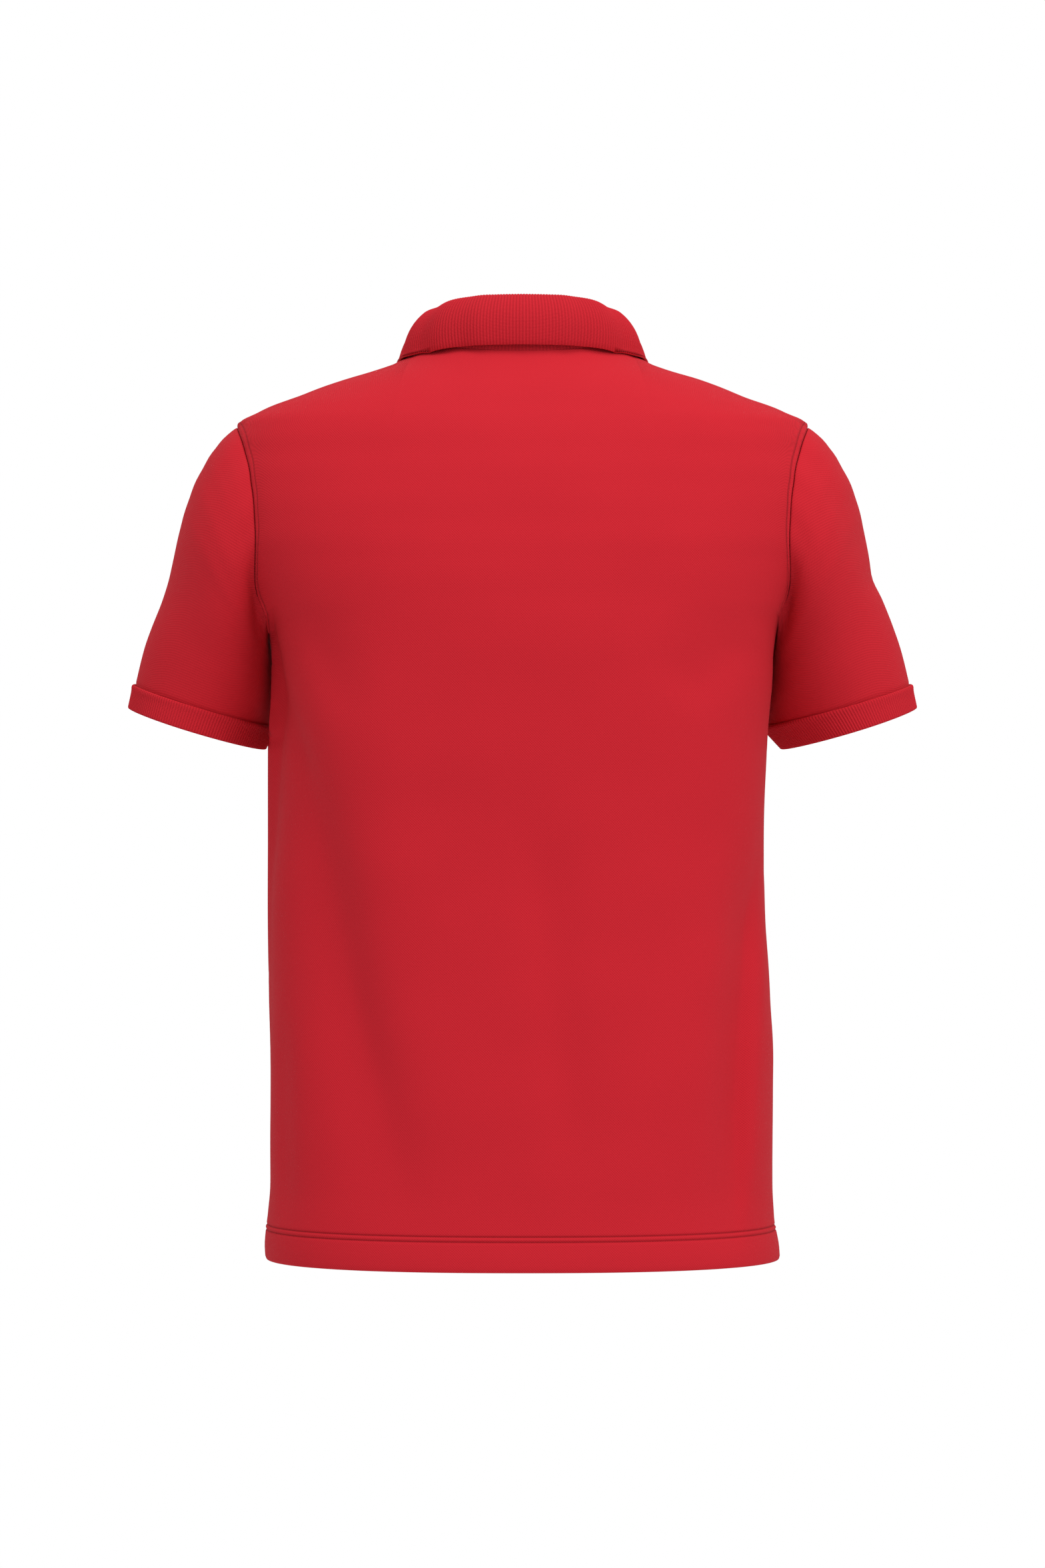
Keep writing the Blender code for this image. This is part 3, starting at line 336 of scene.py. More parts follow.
def read_column(table, column, place):
    """One column of a table between its rows, smooth and without overshoot."""
    places = np.array([row[0] for row in table])
    values = np.array([getattr(row, column) for row in table])
    steps = np.diff(places)
    rises = np.diff(values) / steps
    slopes = np.zeros(len(values))
    same_way = rises[:-1] * rises[1:] > 0
    safe = np.where(same_way, rises[:-1] + rises[1:], 1.0)
    slopes[1:-1] = np.where(same_way, 2 * rises[:-1] * rises[1:] / safe, 0.0)
    slopes[0] = rises[0]
    slopes[-1] = rises[-1]
    beyond = place - np.clip(place, places[0], places[-1])
    place = place - beyond
    row = np.clip(np.searchsorted(places, place, side="right") - 1, 0, len(steps) - 1)
    t = (place - places[row]) / steps[row]
    start = values[row] + steps[row] * t * slopes[row]
    end = values[row + 1] + steps[row] * (t - 1) * slopes[row + 1]
    blend = t * t * (3 - 2 * t)
    run_on = beyond * np.where(beyond < 0, slopes[0], slopes[-1])
    return start * (1 - blend) + end * blend + run_on


def smooth_step(value, low, high):
    t = np.clip((value - low) / (high - low), 0.0, 1.0)
    return t * t * (3 - 2 * t)


def unit(vectors):
    return vectors / np.maximum(np.linalg.norm(vectors, axis=-1, keepdims=True), 1e-12)


def lengths_along(points):
    """How far along a line of points each one lies."""
    steps = np.linalg.norm(np.diff(points, axis=0), axis=-1)
    return np.concatenate([np.zeros((1,) + steps.shape[1:]), np.cumsum(steps, axis=0)])


def between(stops, places, points):
    """The points at some stops along a line, from the line's points and their places."""
    return np.stack([np.interp(stops, places, points[:, axis]) for axis in range(3)], axis=-1)


def turns(count):
    """The angles of a ring's points."""
    return np.arange(count) * 2 * math.pi / count


def body_half_width(x, z):
    left = read_column(BODY_SECTIONS, "left", z)
    right = read_column(BODY_SECTIONS, "right", z)
    return np.where(x >= 0, left, right)


def body_point(x, z, side):
    """Where the body's surface stands, back or front, behind a place in the view."""
    fullness = read_column(BODY_SECTIONS, "fullness", z)
    depth = read_column(BODY_SECTIONS, "back" if side == BACK else "front", z)
    share = np.clip(np.abs(x) / body_half_width(x, z), 0.0, 1.0)
    y = side * depth * (1 - share ** fullness) ** (1 / fullness)
    return np.stack(np.broadcast_arrays(x, y, z), axis=-1)


def body_measure(points):
    """Below 1 inside the body, 1 on its surface, above 1 outside."""
    x, y, z = points[..., 0], points[..., 1], points[..., 2]
    fullness = read_column(BODY_SECTIONS, "fullness", z)
    depth = np.where(y >= 0, read_column(BODY_SECTIONS, "back", z),
                     read_column(BODY_SECTIONS, "front", z))
    width = body_half_width(x, z)
    return (np.abs(x) / width) ** fullness + (np.abs(y) / depth) ** fullness


def body_slope(points, step=0.0004):
    """The direction straight out of the body, before it is made a unit long."""
    slope = np.zeros_like(points)
    for axis in range(3):
        shift = np.zeros(3)
        shift[axis] = step
        rise = body_measure(points + shift) - body_measure(points - shift)
        slope[..., axis] = rise / (2 * step)
    return slope


def soften(path, times=3):
    """A path with its corners cut."""
    path = np.array(path, dtype=float)
    for _ in range(times):
        near = path[:-1] * 0.75 + path[1:] * 0.25
        far = path[:-1] * 0.25 + path[1:] * 0.75
        path = np.concatenate([path[:1], np.stack([near, far], axis=1).reshape(-1, 2), path[-1:]])
    return path


def crease_depth(points, side, creases):
    """How far the creases sink the cloth at each point; ridges count below zero."""
    flat = points[..., [0, 2]].reshape(-1, 2)
    total = np.zeros(len(flat))
    for crease in creases:
        if crease.side != side:
            continue
        path = soften(crease.path)
        start, run = path[:-1], np.diff(path, axis=0)
        reach = np.linalg.norm(run, axis=1)
        places = np.concatenate([[0], np.cumsum(reach)])
        offset = flat[:, None, :] - start[None, :, :]
        share = np.clip((offset * run).sum(-1) / reach ** 2, 0, 1)
        gap = offset - share[..., None] * run
        distance = np.linalg.norm(gap, axis=-1)
        nearest = distance.argmin(axis=1)
        pick = np.arange(len(flat)), nearest
        place = (places[nearest] + share[pick] * reach[nearest]) / places[-1]
        outward = np.abs(flat[:, 0]) > np.abs((start[nearest] + share[pick][:, None]
                                               * run[nearest])[:, 0])
        width = np.where(outward, crease.outer, crease.inner)
        ends = smooth_step(place, *CREASE_START) * smooth_step(1 - place, *CREASE_END)
        total += crease.depth * ends * np.exp(-(distance[pick] / width) ** 2)
    return total.reshape(points.shape[:-1])


def soft_wander(points):
    """The slight unevenness of hanging cloth."""
    return WANDER_HEIGHT * sum(height * np.sin(points @ along + start)
                               for height, along, start in WANDER_WAVES)


def pressed(distance, depth, width):
    """The dip that a row of stitching or a seam draws in the cloth."""
    return depth * np.exp(-(distance / width) ** 2)


# ---- laying out the cloth ----

def neck_height(x, side):
    angle = np.arccos(np.clip(np.abs(x) / NECK_HALF_WIDTH, 0, 1))
    if side == BACK:
        return NECK_SIDE_HEIGHT - (NECK_SIDE_HEIGHT - NECK_BACK_HEIGHT) * np.sin(angle) ** 2
    drop = NECK_SIDE_HEIGHT - NECK_FRONT_HEIGHT
    return NECK_SIDE_HEIGHT - drop * np.sin(angle) ** NECK_FRONT_CURVE


def top_edge(side, hand):
    """Half a panel's top edge: the shoulder seam, the neckline, then the middle."""
    heights = SHOULDER_POINT[1] + (NECK_SIDE_HEIGHT - SHOULDER_POINT[1]) * SHOULDER_SHARES
    widths = body_half_width(np.full_like(heights, hand), heights)
    power = 1.0 if side == BACK else NECK_FRONT_SPACING
    last = math.acos(PLACKET_HALF_WIDTH / NECK_HALF_WIDTH)
    angles = last * (np.arange(1, NECK_STEPS + 1) / NECK_STEPS) ** power
    neck_x = NECK_HALF_WIDTH * np.cos(angles)
    middle_x = PLACKET_HALF_WIDTH * (1 - np.arange(1, CENTRE_STEPS + 1) / CENTRE_STEPS)
    x = np.concatenate([widths, neck_x, middle_x])
    below_neck = neck_height(x[len(widths):], side)
    return x, np.concatenate([heights, below_neck])


def side_heights():
    """Heights of the rows at a side seam, from the hem up to the underarm."""
    low = HEM_HEIGHT + np.array(HEM_ROWS)
    step = (UNDERARM_HEIGHT - low[-1]) / SEAM_STEPS
    return np.concatenate([low, low[-1] + step * np.arange(1, SEAM_STEPS + 1)])


def side_edge(side, hand):
    seam = side_heights()
    angles = np.linspace(math.pi, 0, ARMHOLE_STEPS + 1)[1:]
    middle = (UNDERARM_HEIGHT + SHOULDER_POINT[1]) / 2
    radius = (SHOULDER_POINT[1] - UNDERARM_HEIGHT) / 2
    arm_z = middle + radius * np.cos(angles)
    arm_x = read_column(ARMHOLES, "back" if side == BACK else "front", arm_z)
    limit = body_half_width(np.full_like(arm_z, hand), arm_z)
    risen = np.clip((arm_z - UNDERARM_HEIGHT) / UNDERARM_RISE, 0, 1)
    near_top = smooth_step(arm_z, SHOULDER_POINT[1] - ARMHOLE_TOP, SHOULDER_POINT[1])
    leave = UNDERARM_LEAVE * risen ** UNDERARM_POWER * (1 - near_top)
    arm_x = np.minimum(arm_x, limit * (1 - leave))
    arm_x[-1] = limit[-1]
    seam_x = body_half_width(np.full_like(seam, hand), seam)
    return np.concatenate([seam_x, arm_x]), np.concatenate([seam, arm_z])


def half_panel(side, hand):
    """Places of half a panel in the view: rows from the hem up, columns from the side in."""
    top_x, top_z = top_edge(side, hand)
    edge_x, edge_z = side_edge(side, hand)
    middle = CENTRE_STEPS
    count = len(top_x) - middle
    shoulder = SHOULDER_SHARES * SHOULDER_TURN
    neck = SHOULDER_TURN + (1 - SHOULDER_TURN) * np.arange(1, NECK_STEPS + 1) / NECK_STEPS
    low_width = body_half_width(hand, HEM_HEIGHT)
    last_turn = math.asin(PLACKET_HALF_WIDTH / low_width)
    turn = math.pi / 2 - (math.pi / 2 - last_turn) * np.concatenate([shoulder, neck])
    up = (edge_z - HEM_HEIGHT) / (SHOULDER_POINT[1] - HEM_HEIGHT)
    lift = smooth_step(up, 0.05, 1.0)
    z = edge_z[:, None] + lift[:, None] * (top_z - SHOULDER_POINT[1])[None, :]
    spread = ((1 - up) ** SPREAD_POWER)[:, None]
    x = (low_width * np.sin(turn))[None, :] * spread + top_x[None, :count] * (1 - spread)
    near_edge = np.zeros(count)
    near_edge[:len(SHOULDER_SHARES)] = 1 - SHOULDER_SHARES
    x = x + near_edge[None, :] * (edge_x - x[:, 0])[:, None]
    x[:, -1] = PLACKET_HALF_WIDTH
    x = np.concatenate([x, np.repeat(top_x[None, count:], len(x), axis=0)], axis=1)
    return hand * x, z


def panel_grid(side):
    """Outer points of a panel before its creases: rows from the hem up, left to right."""
    left_x, left_z = half_panel(side, LEFT)
    right_x, right_z = half_panel(side, RIGHT)
    x = np.concatenate([left_x, right_x[:, :-1][:, ::-1]], axis=1)
    z = np.concatenate([left_z, right_z[:, :-1][:, ::-1]], axis=1)
    return body_point(x, z, side)


def weave_map(grid):
    """The cloth's own measure, across and up, at each point of a grid."""
    middle = grid.shape[1] // 2
    across = lengths_along(np.swapaxes(grid, 0, 1)[..., :2]).T
    across = across - across[:, middle:middle + 1]
    up = lengths_along(grid[..., 1:])
    return np.stack([across, up], axis=-1)


def seam_direction(own, partner):
    """Walls that meet on a bend share one direction; walls folded together keep their own."""
    share = smooth_step((own * partner).sum(-1, keepdims=True), *SAME_WAY)
    return unit(own + share * partner)


def finish_panel(grid, side, sleeve_ways):
    """Sink creases, stitching and seams, part the seams, and give each point's way out."""
    rows, columns = grid.shape[:2]
    outward = unit(body_slope(grid))
    from_left = lengths_along(np.swapaxes(grid, 0, 1)).T
    from_edge = np.minimum(from_left, from_left[:, -1:] - from_left)
    from_top = lengths_along(grid[::-1])[::-1]
    above_hem = lengths_along(grid)
    shoulder = np.zeros(columns, dtype=bool)
    shoulder[:SHOULDER_COUNT] = True
    shoulder[-SHOULDER_COUNT:] = True
    held = smooth_step(from_edge, 0.0, SIDE_CALM) * smooth_step(from_top, 0.0, TOP_CALM)
    sunk = (crease_depth(grid, side, BODY_CREASES) - soft_wander(grid)) * held
    seam_rows = (np.arange(rows) <= SEAM_ROW)[:, None]
    by_hem = smooth_step(above_hem, 0.0, HEM_CALM)
    for share, distance, press in (
            (seam_rows * by_hem, from_edge, SIDE_SEAM),
            (~seam_rows, from_edge, ARMHOLE_SEAM),
            (~seam_rows, from_edge - ARMHOLE_STITCHING, ARMHOLE_ROW),
            (~seam_rows, from_edge - ARMHOLE_STITCHING / 2, ARMHOLE_WELT),
            (shoulder[None, :], from_top, SHOULDER_SEAM),
            (1, above_hem - HEM_LINES[0], HEM_ROW),
            (1, above_hem - HEM_LINES[1], HEM_ROW),
            (1, above_hem - sum(HEM_LINES) / 2, HEM_WELT),
            (1, above_hem - HEM_LINES[0] * 0.45, HEM_SWELL),
            (1, above_hem, HEM_EDGE)):
        sunk = sunk + share * pressed(distance, *press)
    grid = grid - outward * sunk[..., None]
    part = np.zeros((rows, columns))
    part[:, [0, -1]] = 1.0
    part[-1, :SHOULDER_COUNT] = 1.0
    part[-1, -SHOULDER_COUNT:] = 1.0
    grid[..., 1] += side * SEAM_GAP / 2 * part
    plain = outward.copy()
    for edge, hand, step in ((0, LEFT, 1), (-1, RIGHT, -1)):
        shared = seam_direction(plain[SEAM_ROW:, edge], sleeve_ways[hand][side])
        for away in range(SEAM_BLEND):
            column = edge + step * away
            share = (1 - away / SEAM_BLEND) ** 2
            blended = plain[SEAM_ROW:, column] * (1 - share) + shared * share
            outward[SEAM_ROW:, column] = unit(blended)
    from_seam = np.where(seam_rows, 1.0, from_edge)
    return grid, outward, np.stack([from_seam, above_hem], axis=-1)


def armhole_loop(back, front, hand):
    """The armhole's points: shoulder, down the back, underarm, up the front."""
    column = 0 if hand == LEFT else -1
    loop = np.concatenate([back[SEAM_ROW:, column][::-1], front[SEAM_ROW:, column][1:-1]])
    loop[[0, ARMHOLE_STEPS], 1] = 0.0
    return loop


def ring_points(rings, along, angles, hand):
    """Points of oval rings; angle 0 is the outer line and 90 degrees is the back."""
    outer, outer_height, inner, inner_height, back, front, tilt, swing = [
        read_column(rings, name, along)[:, None]
        for name in ("outer", "outer_height", "inner_left" if hand == LEFT else "inner_right",
                     "inner_height", "back", "front", "tilt", "swing")]
    tilt = np.radians(tilt)
    wave = np.cos(angles)[None, :]
    sway = np.sin(angles)[None, :]
    depth = (back - front) / 2
    x = (outer + inner) / 2 + (outer - inner) / 2 * wave
    y = (back + front) / 2 + depth * sway * np.cos(tilt) - swing * ((1 - wave) / 2) ** SLEEVE_TURN
    z = (outer_height + inner_height) / 2 + (outer_height - inner_height) / 2 * wave
    z = z - depth * sway * np.sin(tilt)
    return np.stack([hand * x, y, z], axis=-1)


def tube_directions(grid, hand):
    """The ways straight out of a tube of rings."""
    down = np.gradient(grid, axis=0)
    around = np.roll(grid, -1, axis=1) - np.roll(grid, 1, axis=1)
    return unit(hand * np.cross(down, around))


def sleeve_grid(loop, hand):
    """Outer points of a sleeve, rings from the armhole to the cuff, and their ways out."""
    along = np.linspace(0, 1, SLEEVE_STEPS + 1)
    along = np.concatenate([[0.0, 0.006, 0.014], along[1:-1], [0.988, 0.995, 1.0, SLEEVE_TUCK]])
    grid = ring_points(SLEEVE_RINGS, along, turns(len(loop)), hand)
    fade = 1 - smooth_step(along, 0.0, ARMHOLE_FADE)
    grid = grid + fade[:, None, None] * (loop - grid[0])[None, :, :]
    return grid, tube_directions(grid, hand)


def armhole_ways(ring):
    """A sleeve's first ring of directions, dealt out to the back and the front, upwards."""
    back = ring[:ARMHOLE_STEPS + 1][::-1]
    front = np.concatenate([ring[ARMHOLE_STEPS:], ring[:1]])
    return {BACK: back, FRONT: front}


def finish_sleeve(grid, outward, loop_ways, hand):
    """Sink a sleeve's creases and seams and part it from the armhole."""
    from_armhole = lengths_along(grid)
    from_cuff = from_armhole[-2:-1] - from_armhole
    turn = turns(grid.shape[1])
    is_back = (turn <= math.pi)[None, :]
    sunk = np.where(is_back, crease_depth(grid, BACK, SLEEVE_CREASES),
                    crease_depth(grid, FRONT, SLEEVE_CREASES))
    at_fold = smooth_step(np.abs(np.sin(turn)), 0.0, 0.5)[None, :]
    held = smooth_step(from_armhole, 0.0, ARMHOLE_CALM) * smooth_step(from_cuff, 0.0, CUFF_CALM)
    from_dent = np.linalg.norm(grid[..., [0, 2]] - DENT_PLACE, axis=-1)
    sunk = sunk * at_fold + pressed(from_dent, DENT_DEPTH, DENT_WIDTH)
    sunk = (sunk - soft_wander(grid)) * held
    sunk = sunk + pressed(from_armhole, *SLEEVE_SEAM) + pressed(from_cuff, *CUFF_SEAM)
    grid = grid - outward * sunk[..., None]
    grid[0, :, 0] += hand * SEAM_GAP * 1.2
    grid[-1] += outward[-1] * TUCK_SPREAD
    outward = outward.copy()
    outward[0] = seam_direction(outward[0], loop_ways)
    outward[1] = unit(outward[0] + outward[2])
    return grid, outward


# ---- making pieces ----

def add_object(name, data):
    made = bpy.data.objects.new(name, data)
    bpy.context.scene.collection.objects.link(made)
    return made


def mesh_data(name, mesh):
    """Close a mesh that is finished and give its data."""
    data = bpy.data.meshes.new(name)
    mesh.to_mesh(data)
    mesh.free()
    return data


def add_piece(name, mesh, look, nodes=()):
    """A finished piece: normals out, its finish on, riding on the shirt."""
    bmesh.ops.recalc_face_normals(mesh, faces=mesh.faces)
    if mesh.calc_volume(signed=True) < 0:
        bmesh.ops.reverse_faces(mesh, faces=mesh.faces)
    data = mesh_data(name, mesh)
    data.materials.append(look)
    data.shade_smooth()
    piece = add_object(name, data)
    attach(piece, "root")
    if nodes:
        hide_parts(*nodes)
    return piece


FAR_AWAY = (1.0, 1.0)                   # no seam or hem near


def cloth_wall(outer, inner, places, keep=None, wrap=False, turn=0.0, edges=None):
    """A closed wall of cloth between outer and inner points laid out in rows and columns.

    Places are the cloth's own measure at each point; turn is a whole turn's worth of it.
    Edges are the distances from the side or armhole seam and from the hem.
    """
    rows, columns = outer.shape[:2]
    mesh = bmesh.new()
    weave_layer = mesh.loops.layers.uv.new("weave")
    edge_layer = mesh.loops.layers.uv.new("edges")
    outside = [[mesh.verts.new(point) for point in row] for row in outer]
    inside = [[mesh.verts.new(point) for point in row] for row in inner]
    partner, where, reach = {}, {}, {}
    for row, column in np.ndindex(rows, columns):
        front, behind = outside[row][column], inside[row][column]
        partner[front] = behind
        where[front] = where[behind] = places[row, column]
        reach[front] = FAR_AWAY if edges is None else edges[row, column]
    cells = []
    for row, column in np.ndindex(rows - 1, columns if wrap else columns - 1):
        if keep is None or keep[row, column]:
            right = (column + 1) % columns
            cells.append(((row, column), (row, right), (row + 1, right), (row + 1, column)))

    def face(points, closing=False):
        made = mesh.faces.new(points)
        for loop in made.loops:
            u, v = where[loop.vert]
            if closing and u < turn / 2:
                u += turn
            loop[weave_layer].uv = (u, v)
            loop[edge_layer].uv = reach.get(loop.vert, FAR_AWAY)

    for cell in cells:
        face([outside[row][column] for row, column in cell], wrap and cell[0][1] == columns - 1)
    rims = [edge for edge in mesh.edges if edge.is_boundary]
    for cell in cells:
        face([inside[row][column] for row, column in reversed(cell)],
             wrap and cell[0][1] == columns - 1)
    for edge in rims:
        first, second = edge.verts
        closing = wrap and abs(where[first][0] - where[second][0]) > turn / 2
        face([first, second, partner[second], partner[first]], closing)
    loose = [point for point in mesh.verts if not point.link_faces]
    bmesh.ops.delete(mesh, geom=loose, context="VERTS")
    return mesh


def add_stitch(mesh, spot, along, across, out):
    """One stitch: a small ball drawn out to three half axes."""
    turn = Matrix(np.stack([along, across, out], axis=1).tolist())
    place = Matrix.Translation(Vector(spot)) @ turn.to_4x4()
    bmesh.ops.create_icosphere(mesh, subdivisions=1, radius=1.0, matrix=place)


STITCH_LOOK = 0.0004                    # how far ahead and behind a stitch finds its run


def stitch_row(mesh, path, ways, spacing=0.0030, length=0.0024, width=0.00055, sink=0.0001):
    """A row of stitches along a path that lies on cloth."""
    places = lengths_along(path)
    count = max(int(places[-1] / spacing), 1)
    stops = (np.arange(count) + 0.5) * places[-1] / count
    spots = between(stops, places, path)
    runs = unit(between(stops + STITCH_LOOK, places, path)
                - between(stops - STITCH_LOOK, places, path))
    outs = unit(between(stops, places, ways))
    for spot, run, out in zip(spots, runs, outs):
        add_stitch(mesh, spot - out * sink, run * length / 2, np.cross(out, run) * width / 2,
                   out * width / 2)


# ---- finishes ----

def put(tree, place, value):
    """Link a socket's result to another socket, or set that socket to a number or colour."""
    if isinstance(value, bpy.types.NodeSocket):
        tree.links.new(value, place)
    else:
        place.default_value = value


def add_node(tree, kind, inputs=(), **settings):
    """A shader node with its settings and with what goes into its sockets."""
    node = tree.nodes.new(f"ShaderNode{kind}")
    for name, value in settings.items():
        setattr(node, name, value)
    for name, value in dict(inputs).items():
        put(tree, node.inputs[name], value)
    return node


def maths(tree, operation, *values):
    """A Math node on sockets or plain numbers; gives its result."""
    return add_node(tree, "Math", enumerate(values), operation=operation).outputs[0]


def mottle(tree, vector, scale, detail):
    """A noise between 0 and 1 at that many spots a metre."""
    inputs = {"Vector": vector, "Scale": scale, "Detail": detail}
    return add_node(tree, "TexNoise", inputs).outputs["Fac"]


def waves(tree, value, length):
    """How far along its waves a measure is, as an angle."""
    return maths(tree, "MULTIPLY", maths(tree, "DIVIDE", value, length), 2 * math.pi)


def new_knit(name, measures, results):
    """A node group on a cloth's map, with named lengths going in and results coming out."""
    group = bpy.data.node_groups.new(name, "ShaderNodeTree")
    sockets = group.interface
    sockets.new_socket(name="Map", in_out="INPUT", socket_type="NodeSocketVector")
    for measure, length in measures.items():
        made = sockets.new_socket(name=measure, in_out="INPUT", socket_type="NodeSocketFloat")
        made.default_value = length
    for result in results:
        sockets.new_socket(name=result, in_out="OUTPUT", socket_type="NodeSocketFloat")
    start = group.nodes.new("NodeGroupInput").outputs
    end = group.nodes.new("NodeGroupOutput").inputs
    split = add_node(group, "SeparateXYZ", {0: start["Map"]}).outputs
    return group, start, end, split["X"], split["Y"]


def pique_group():
    """Pique knit: small pits in staggered rows, with uneven yarn."""
    lengths = {"Across": 0.0020, "Up": 0.0020}
    group, start, end, across, up = new_knit("pique_knit", lengths, ("Height", "Pits", "Mottle"))
    u = waves(group, across, start["Across"])
    v = waves(group, up, start["Up"])
    one = maths(group, "COSINE", maths(group, "ADD", u, v))
    other = maths(group, "COSINE", maths(group, "SUBTRACT", u, v))
    cells = maths(group, "MULTIPLY_ADD", maths(group, "ADD", one, other), 0.25, 0.5)
    pits = maths(group, "POWER", cells, 2.0)
    yarn = mottle(group, start["Map"], YARN_SPOTS, 1.0)
    put(group, end["Height"], maths(group, "MULTIPLY_ADD", yarn, 0.18,
                                    maths(group, "SUBTRACT", 1.0, pits)))
    # Pits also darkens the colour in knit_finish: painted shade in the knit's pits, besides their
    # dip in the bump
    put(group, end["Pits"], pits)
    put(group, end["Mottle"], mottle(group, start["Map"], SOFT_SPOTS, 3.0))
    return group


def rib_group():
    """Rib knit: the dips between ribs, with painted shade in them for the colour, and the small
    stitches up each rib.
    """
    group, start, end, across, up = new_knit("rib_knit", {"Course": 0.0011},
                                             ("Height", "DipShade", "Mottle"))
    rib = maths(group, "MULTIPLY", across, 2 * math.pi)
    dips = maths(group, "MULTIPLY_ADD", maths(group, "COSINE", rib), 0.5, 0.5)
    slant = maths(group, "MULTIPLY", maths(group, "ABSOLUTE", maths(group, "SINE", rib)), 1.6)
    course = maths(group, "ADD", waves(group, up, start["Course"]), slant)
    loops = maths(group, "MULTIPLY_ADD", maths(group, "SINE", course), 0.5, 0.5)
    stretched = add_node(group, "CombineXYZ", {"X": maths(group, "MULTIPLY", across, 1.9),
                                               "Y": maths(group, "MULTIPLY", up, 900.0)})
    yarn = mottle(group, stretched.outputs[0], 1.0, 2.0)
    put(group, end["Height"], maths(group, "MULTIPLY_ADD", yarn, 0.5, loops))
    # This mask only darkens the colour: painted shade in the dips between ribs
    put(group, end["DipShade"], dips)
    put(group, end["Mottle"], yarn)
    return group


def blend_colours(tree, share, first, second):
    node = add_node(tree, "Mix", {"Factor": share}, data_type="RGBA")
    for place, colour in zip([item for item in node.inputs if item.type == "RGBA"],
                             (first, second)):
        put(tree, place, colour)
    return [item for item in node.outputs if item.type == "RGBA"][0]


def new_finish(name, values):
    """A material with its shader's plain values set."""
    finish = bpy.data.materials.new(name)
    finish.use_nodes = True
    shader = finish.node_tree.nodes["Principled BSDF"]
    for socket, value in {"Specular IOR Level": 0.16, **values}.items():
        shader.inputs[socket].default_value = value
    return finish, finish.node_tree, shader


def add_bump(tree, shader, height, distance):
    bump = add_node(tree, "Bump", {"Distance": distance, "Strength": 1.0, "Height": height})
    put(tree, shader.inputs["Normal"], bump.outputs[0])


def cloth_map(tree, name):
    return add_node(tree, "UVMap", uv_map=name).outputs[0]


def sewn_lines(tree):
    """1 along the armhole seam and the rows of stitching and 0 away from them; it carries their
    painted shade and their dip.
    """
    split = add_node(tree, "SeparateXYZ", {0: cloth_map(tree, "edges")}).outputs
    total = 0.0
    for axis, place, width in SEWN_LINES:
        away = maths(tree, "DIVIDE", maths(tree, "SUBTRACT", split[axis], place), width)
        fall = maths(tree, "MULTIPLY", maths(tree, "MULTIPLY", away, away), -1.0)
        total = maths(tree, "ADD", maths(tree, "EXPONENT", fall), total)
    return total


def knit_finish(name, group, bright, dark, pits_name, contrast, sewn=False):
    """A knitted cloth's finish from one of the knit groups, with painted shade in its pits and
    dips.
    """
    finish, tree, shader = new_finish(name, {
        "Roughness": 0.86, "Sheen Weight": 0.02, "Sheen Roughness": 0.45,
        "Sheen Tint": (1.0, 0.55, 0.55, 1.0)})
    knit = add_node(tree, "Group", node_tree=group)
    put(tree, knit.inputs["Map"], cloth_map(tree, "weave"))
    uneven = maths(tree, "MULTIPLY_ADD", knit.outputs["Mottle"], UNEVENNESS, -UNEVENNESS / 2)
    # Painted shade: the colour darkens in the knit's pits and dips by the contrast, on top of the
    # yarn's random tone
    depth = maths(tree, "MULTIPLY_ADD", knit.outputs[pits_name], contrast, uneven)
    height = knit.outputs["Height"]
    if sewn:
        lines = sewn_lines(tree)
        # Painted shade along the armhole seam and the rows of stitching, where the cloth is
        # pressed into grooves
        depth = maths(tree, "MULTIPLY_ADD", lines, SEWN_SHADE, depth)
        height = maths(tree, "MULTIPLY_ADD", lines, -SEWN_DEPTH, height)
    depth.node.use_clamp = True
    put(tree, shader.inputs["Base Color"], blend_colours(tree, depth, bright, dark))
    add_bump(tree, shader, height, KNIT_RELIEF)
    return finish


def thread_finish():
    """Sewing thread: twisted, a little glossier than the cloth."""
    finish, tree, shader = new_finish("sewing_thread", {"Roughness": 0.6})
    place = add_node(tree, "TexCoord").outputs["Object"]
    twist = mottle(tree, place, 3200.0, 1.0)
    dark = tuple(channel * 0.7 for channel in THREAD_RED[:3]) + (1.0,)
    put(tree, shader.inputs["Base Color"], blend_colours(tree, twist, THREAD_RED, dark))
    add_bump(tree, shader, twist, 0.00008)
    return finish


def button_finish():
    """Polished resin with a faint cloud in it."""
    finish, tree, shader = new_finish("button_resin", {"Specular IOR Level": 0.5})
    place = add_node(tree, "TexCoord").outputs["Object"]
    cloud = mottle(tree, place, 260.0, 3.0)
    pale = tuple(min(channel * 1.25, 1.0) for channel in BUTTON_RED[:3]) + (1.0,)
    put(tree, shader.inputs["Base Color"], blend_colours(tree, cloud, BUTTON_RED, pale))
    scratches = mottle(tree, place, 1500.0, 2.0)
    put(tree, shader.inputs["Roughness"], maths(tree, "MULTIPLY_ADD", scratches, 0.16, 0.20))
    add_bump(tree, shader, scratches, 0.00002)
    return finish


# ---- pieces ----

def wall_depths(grid):
    """Each point's cloth: double where the hem is turned up."""
    above = lengths_along(grid)
    return (TURNED_CLOTH + (CLOTH - TURNED_CLOTH) * smooth_step(above, *HEM_FOLD))[..., None]


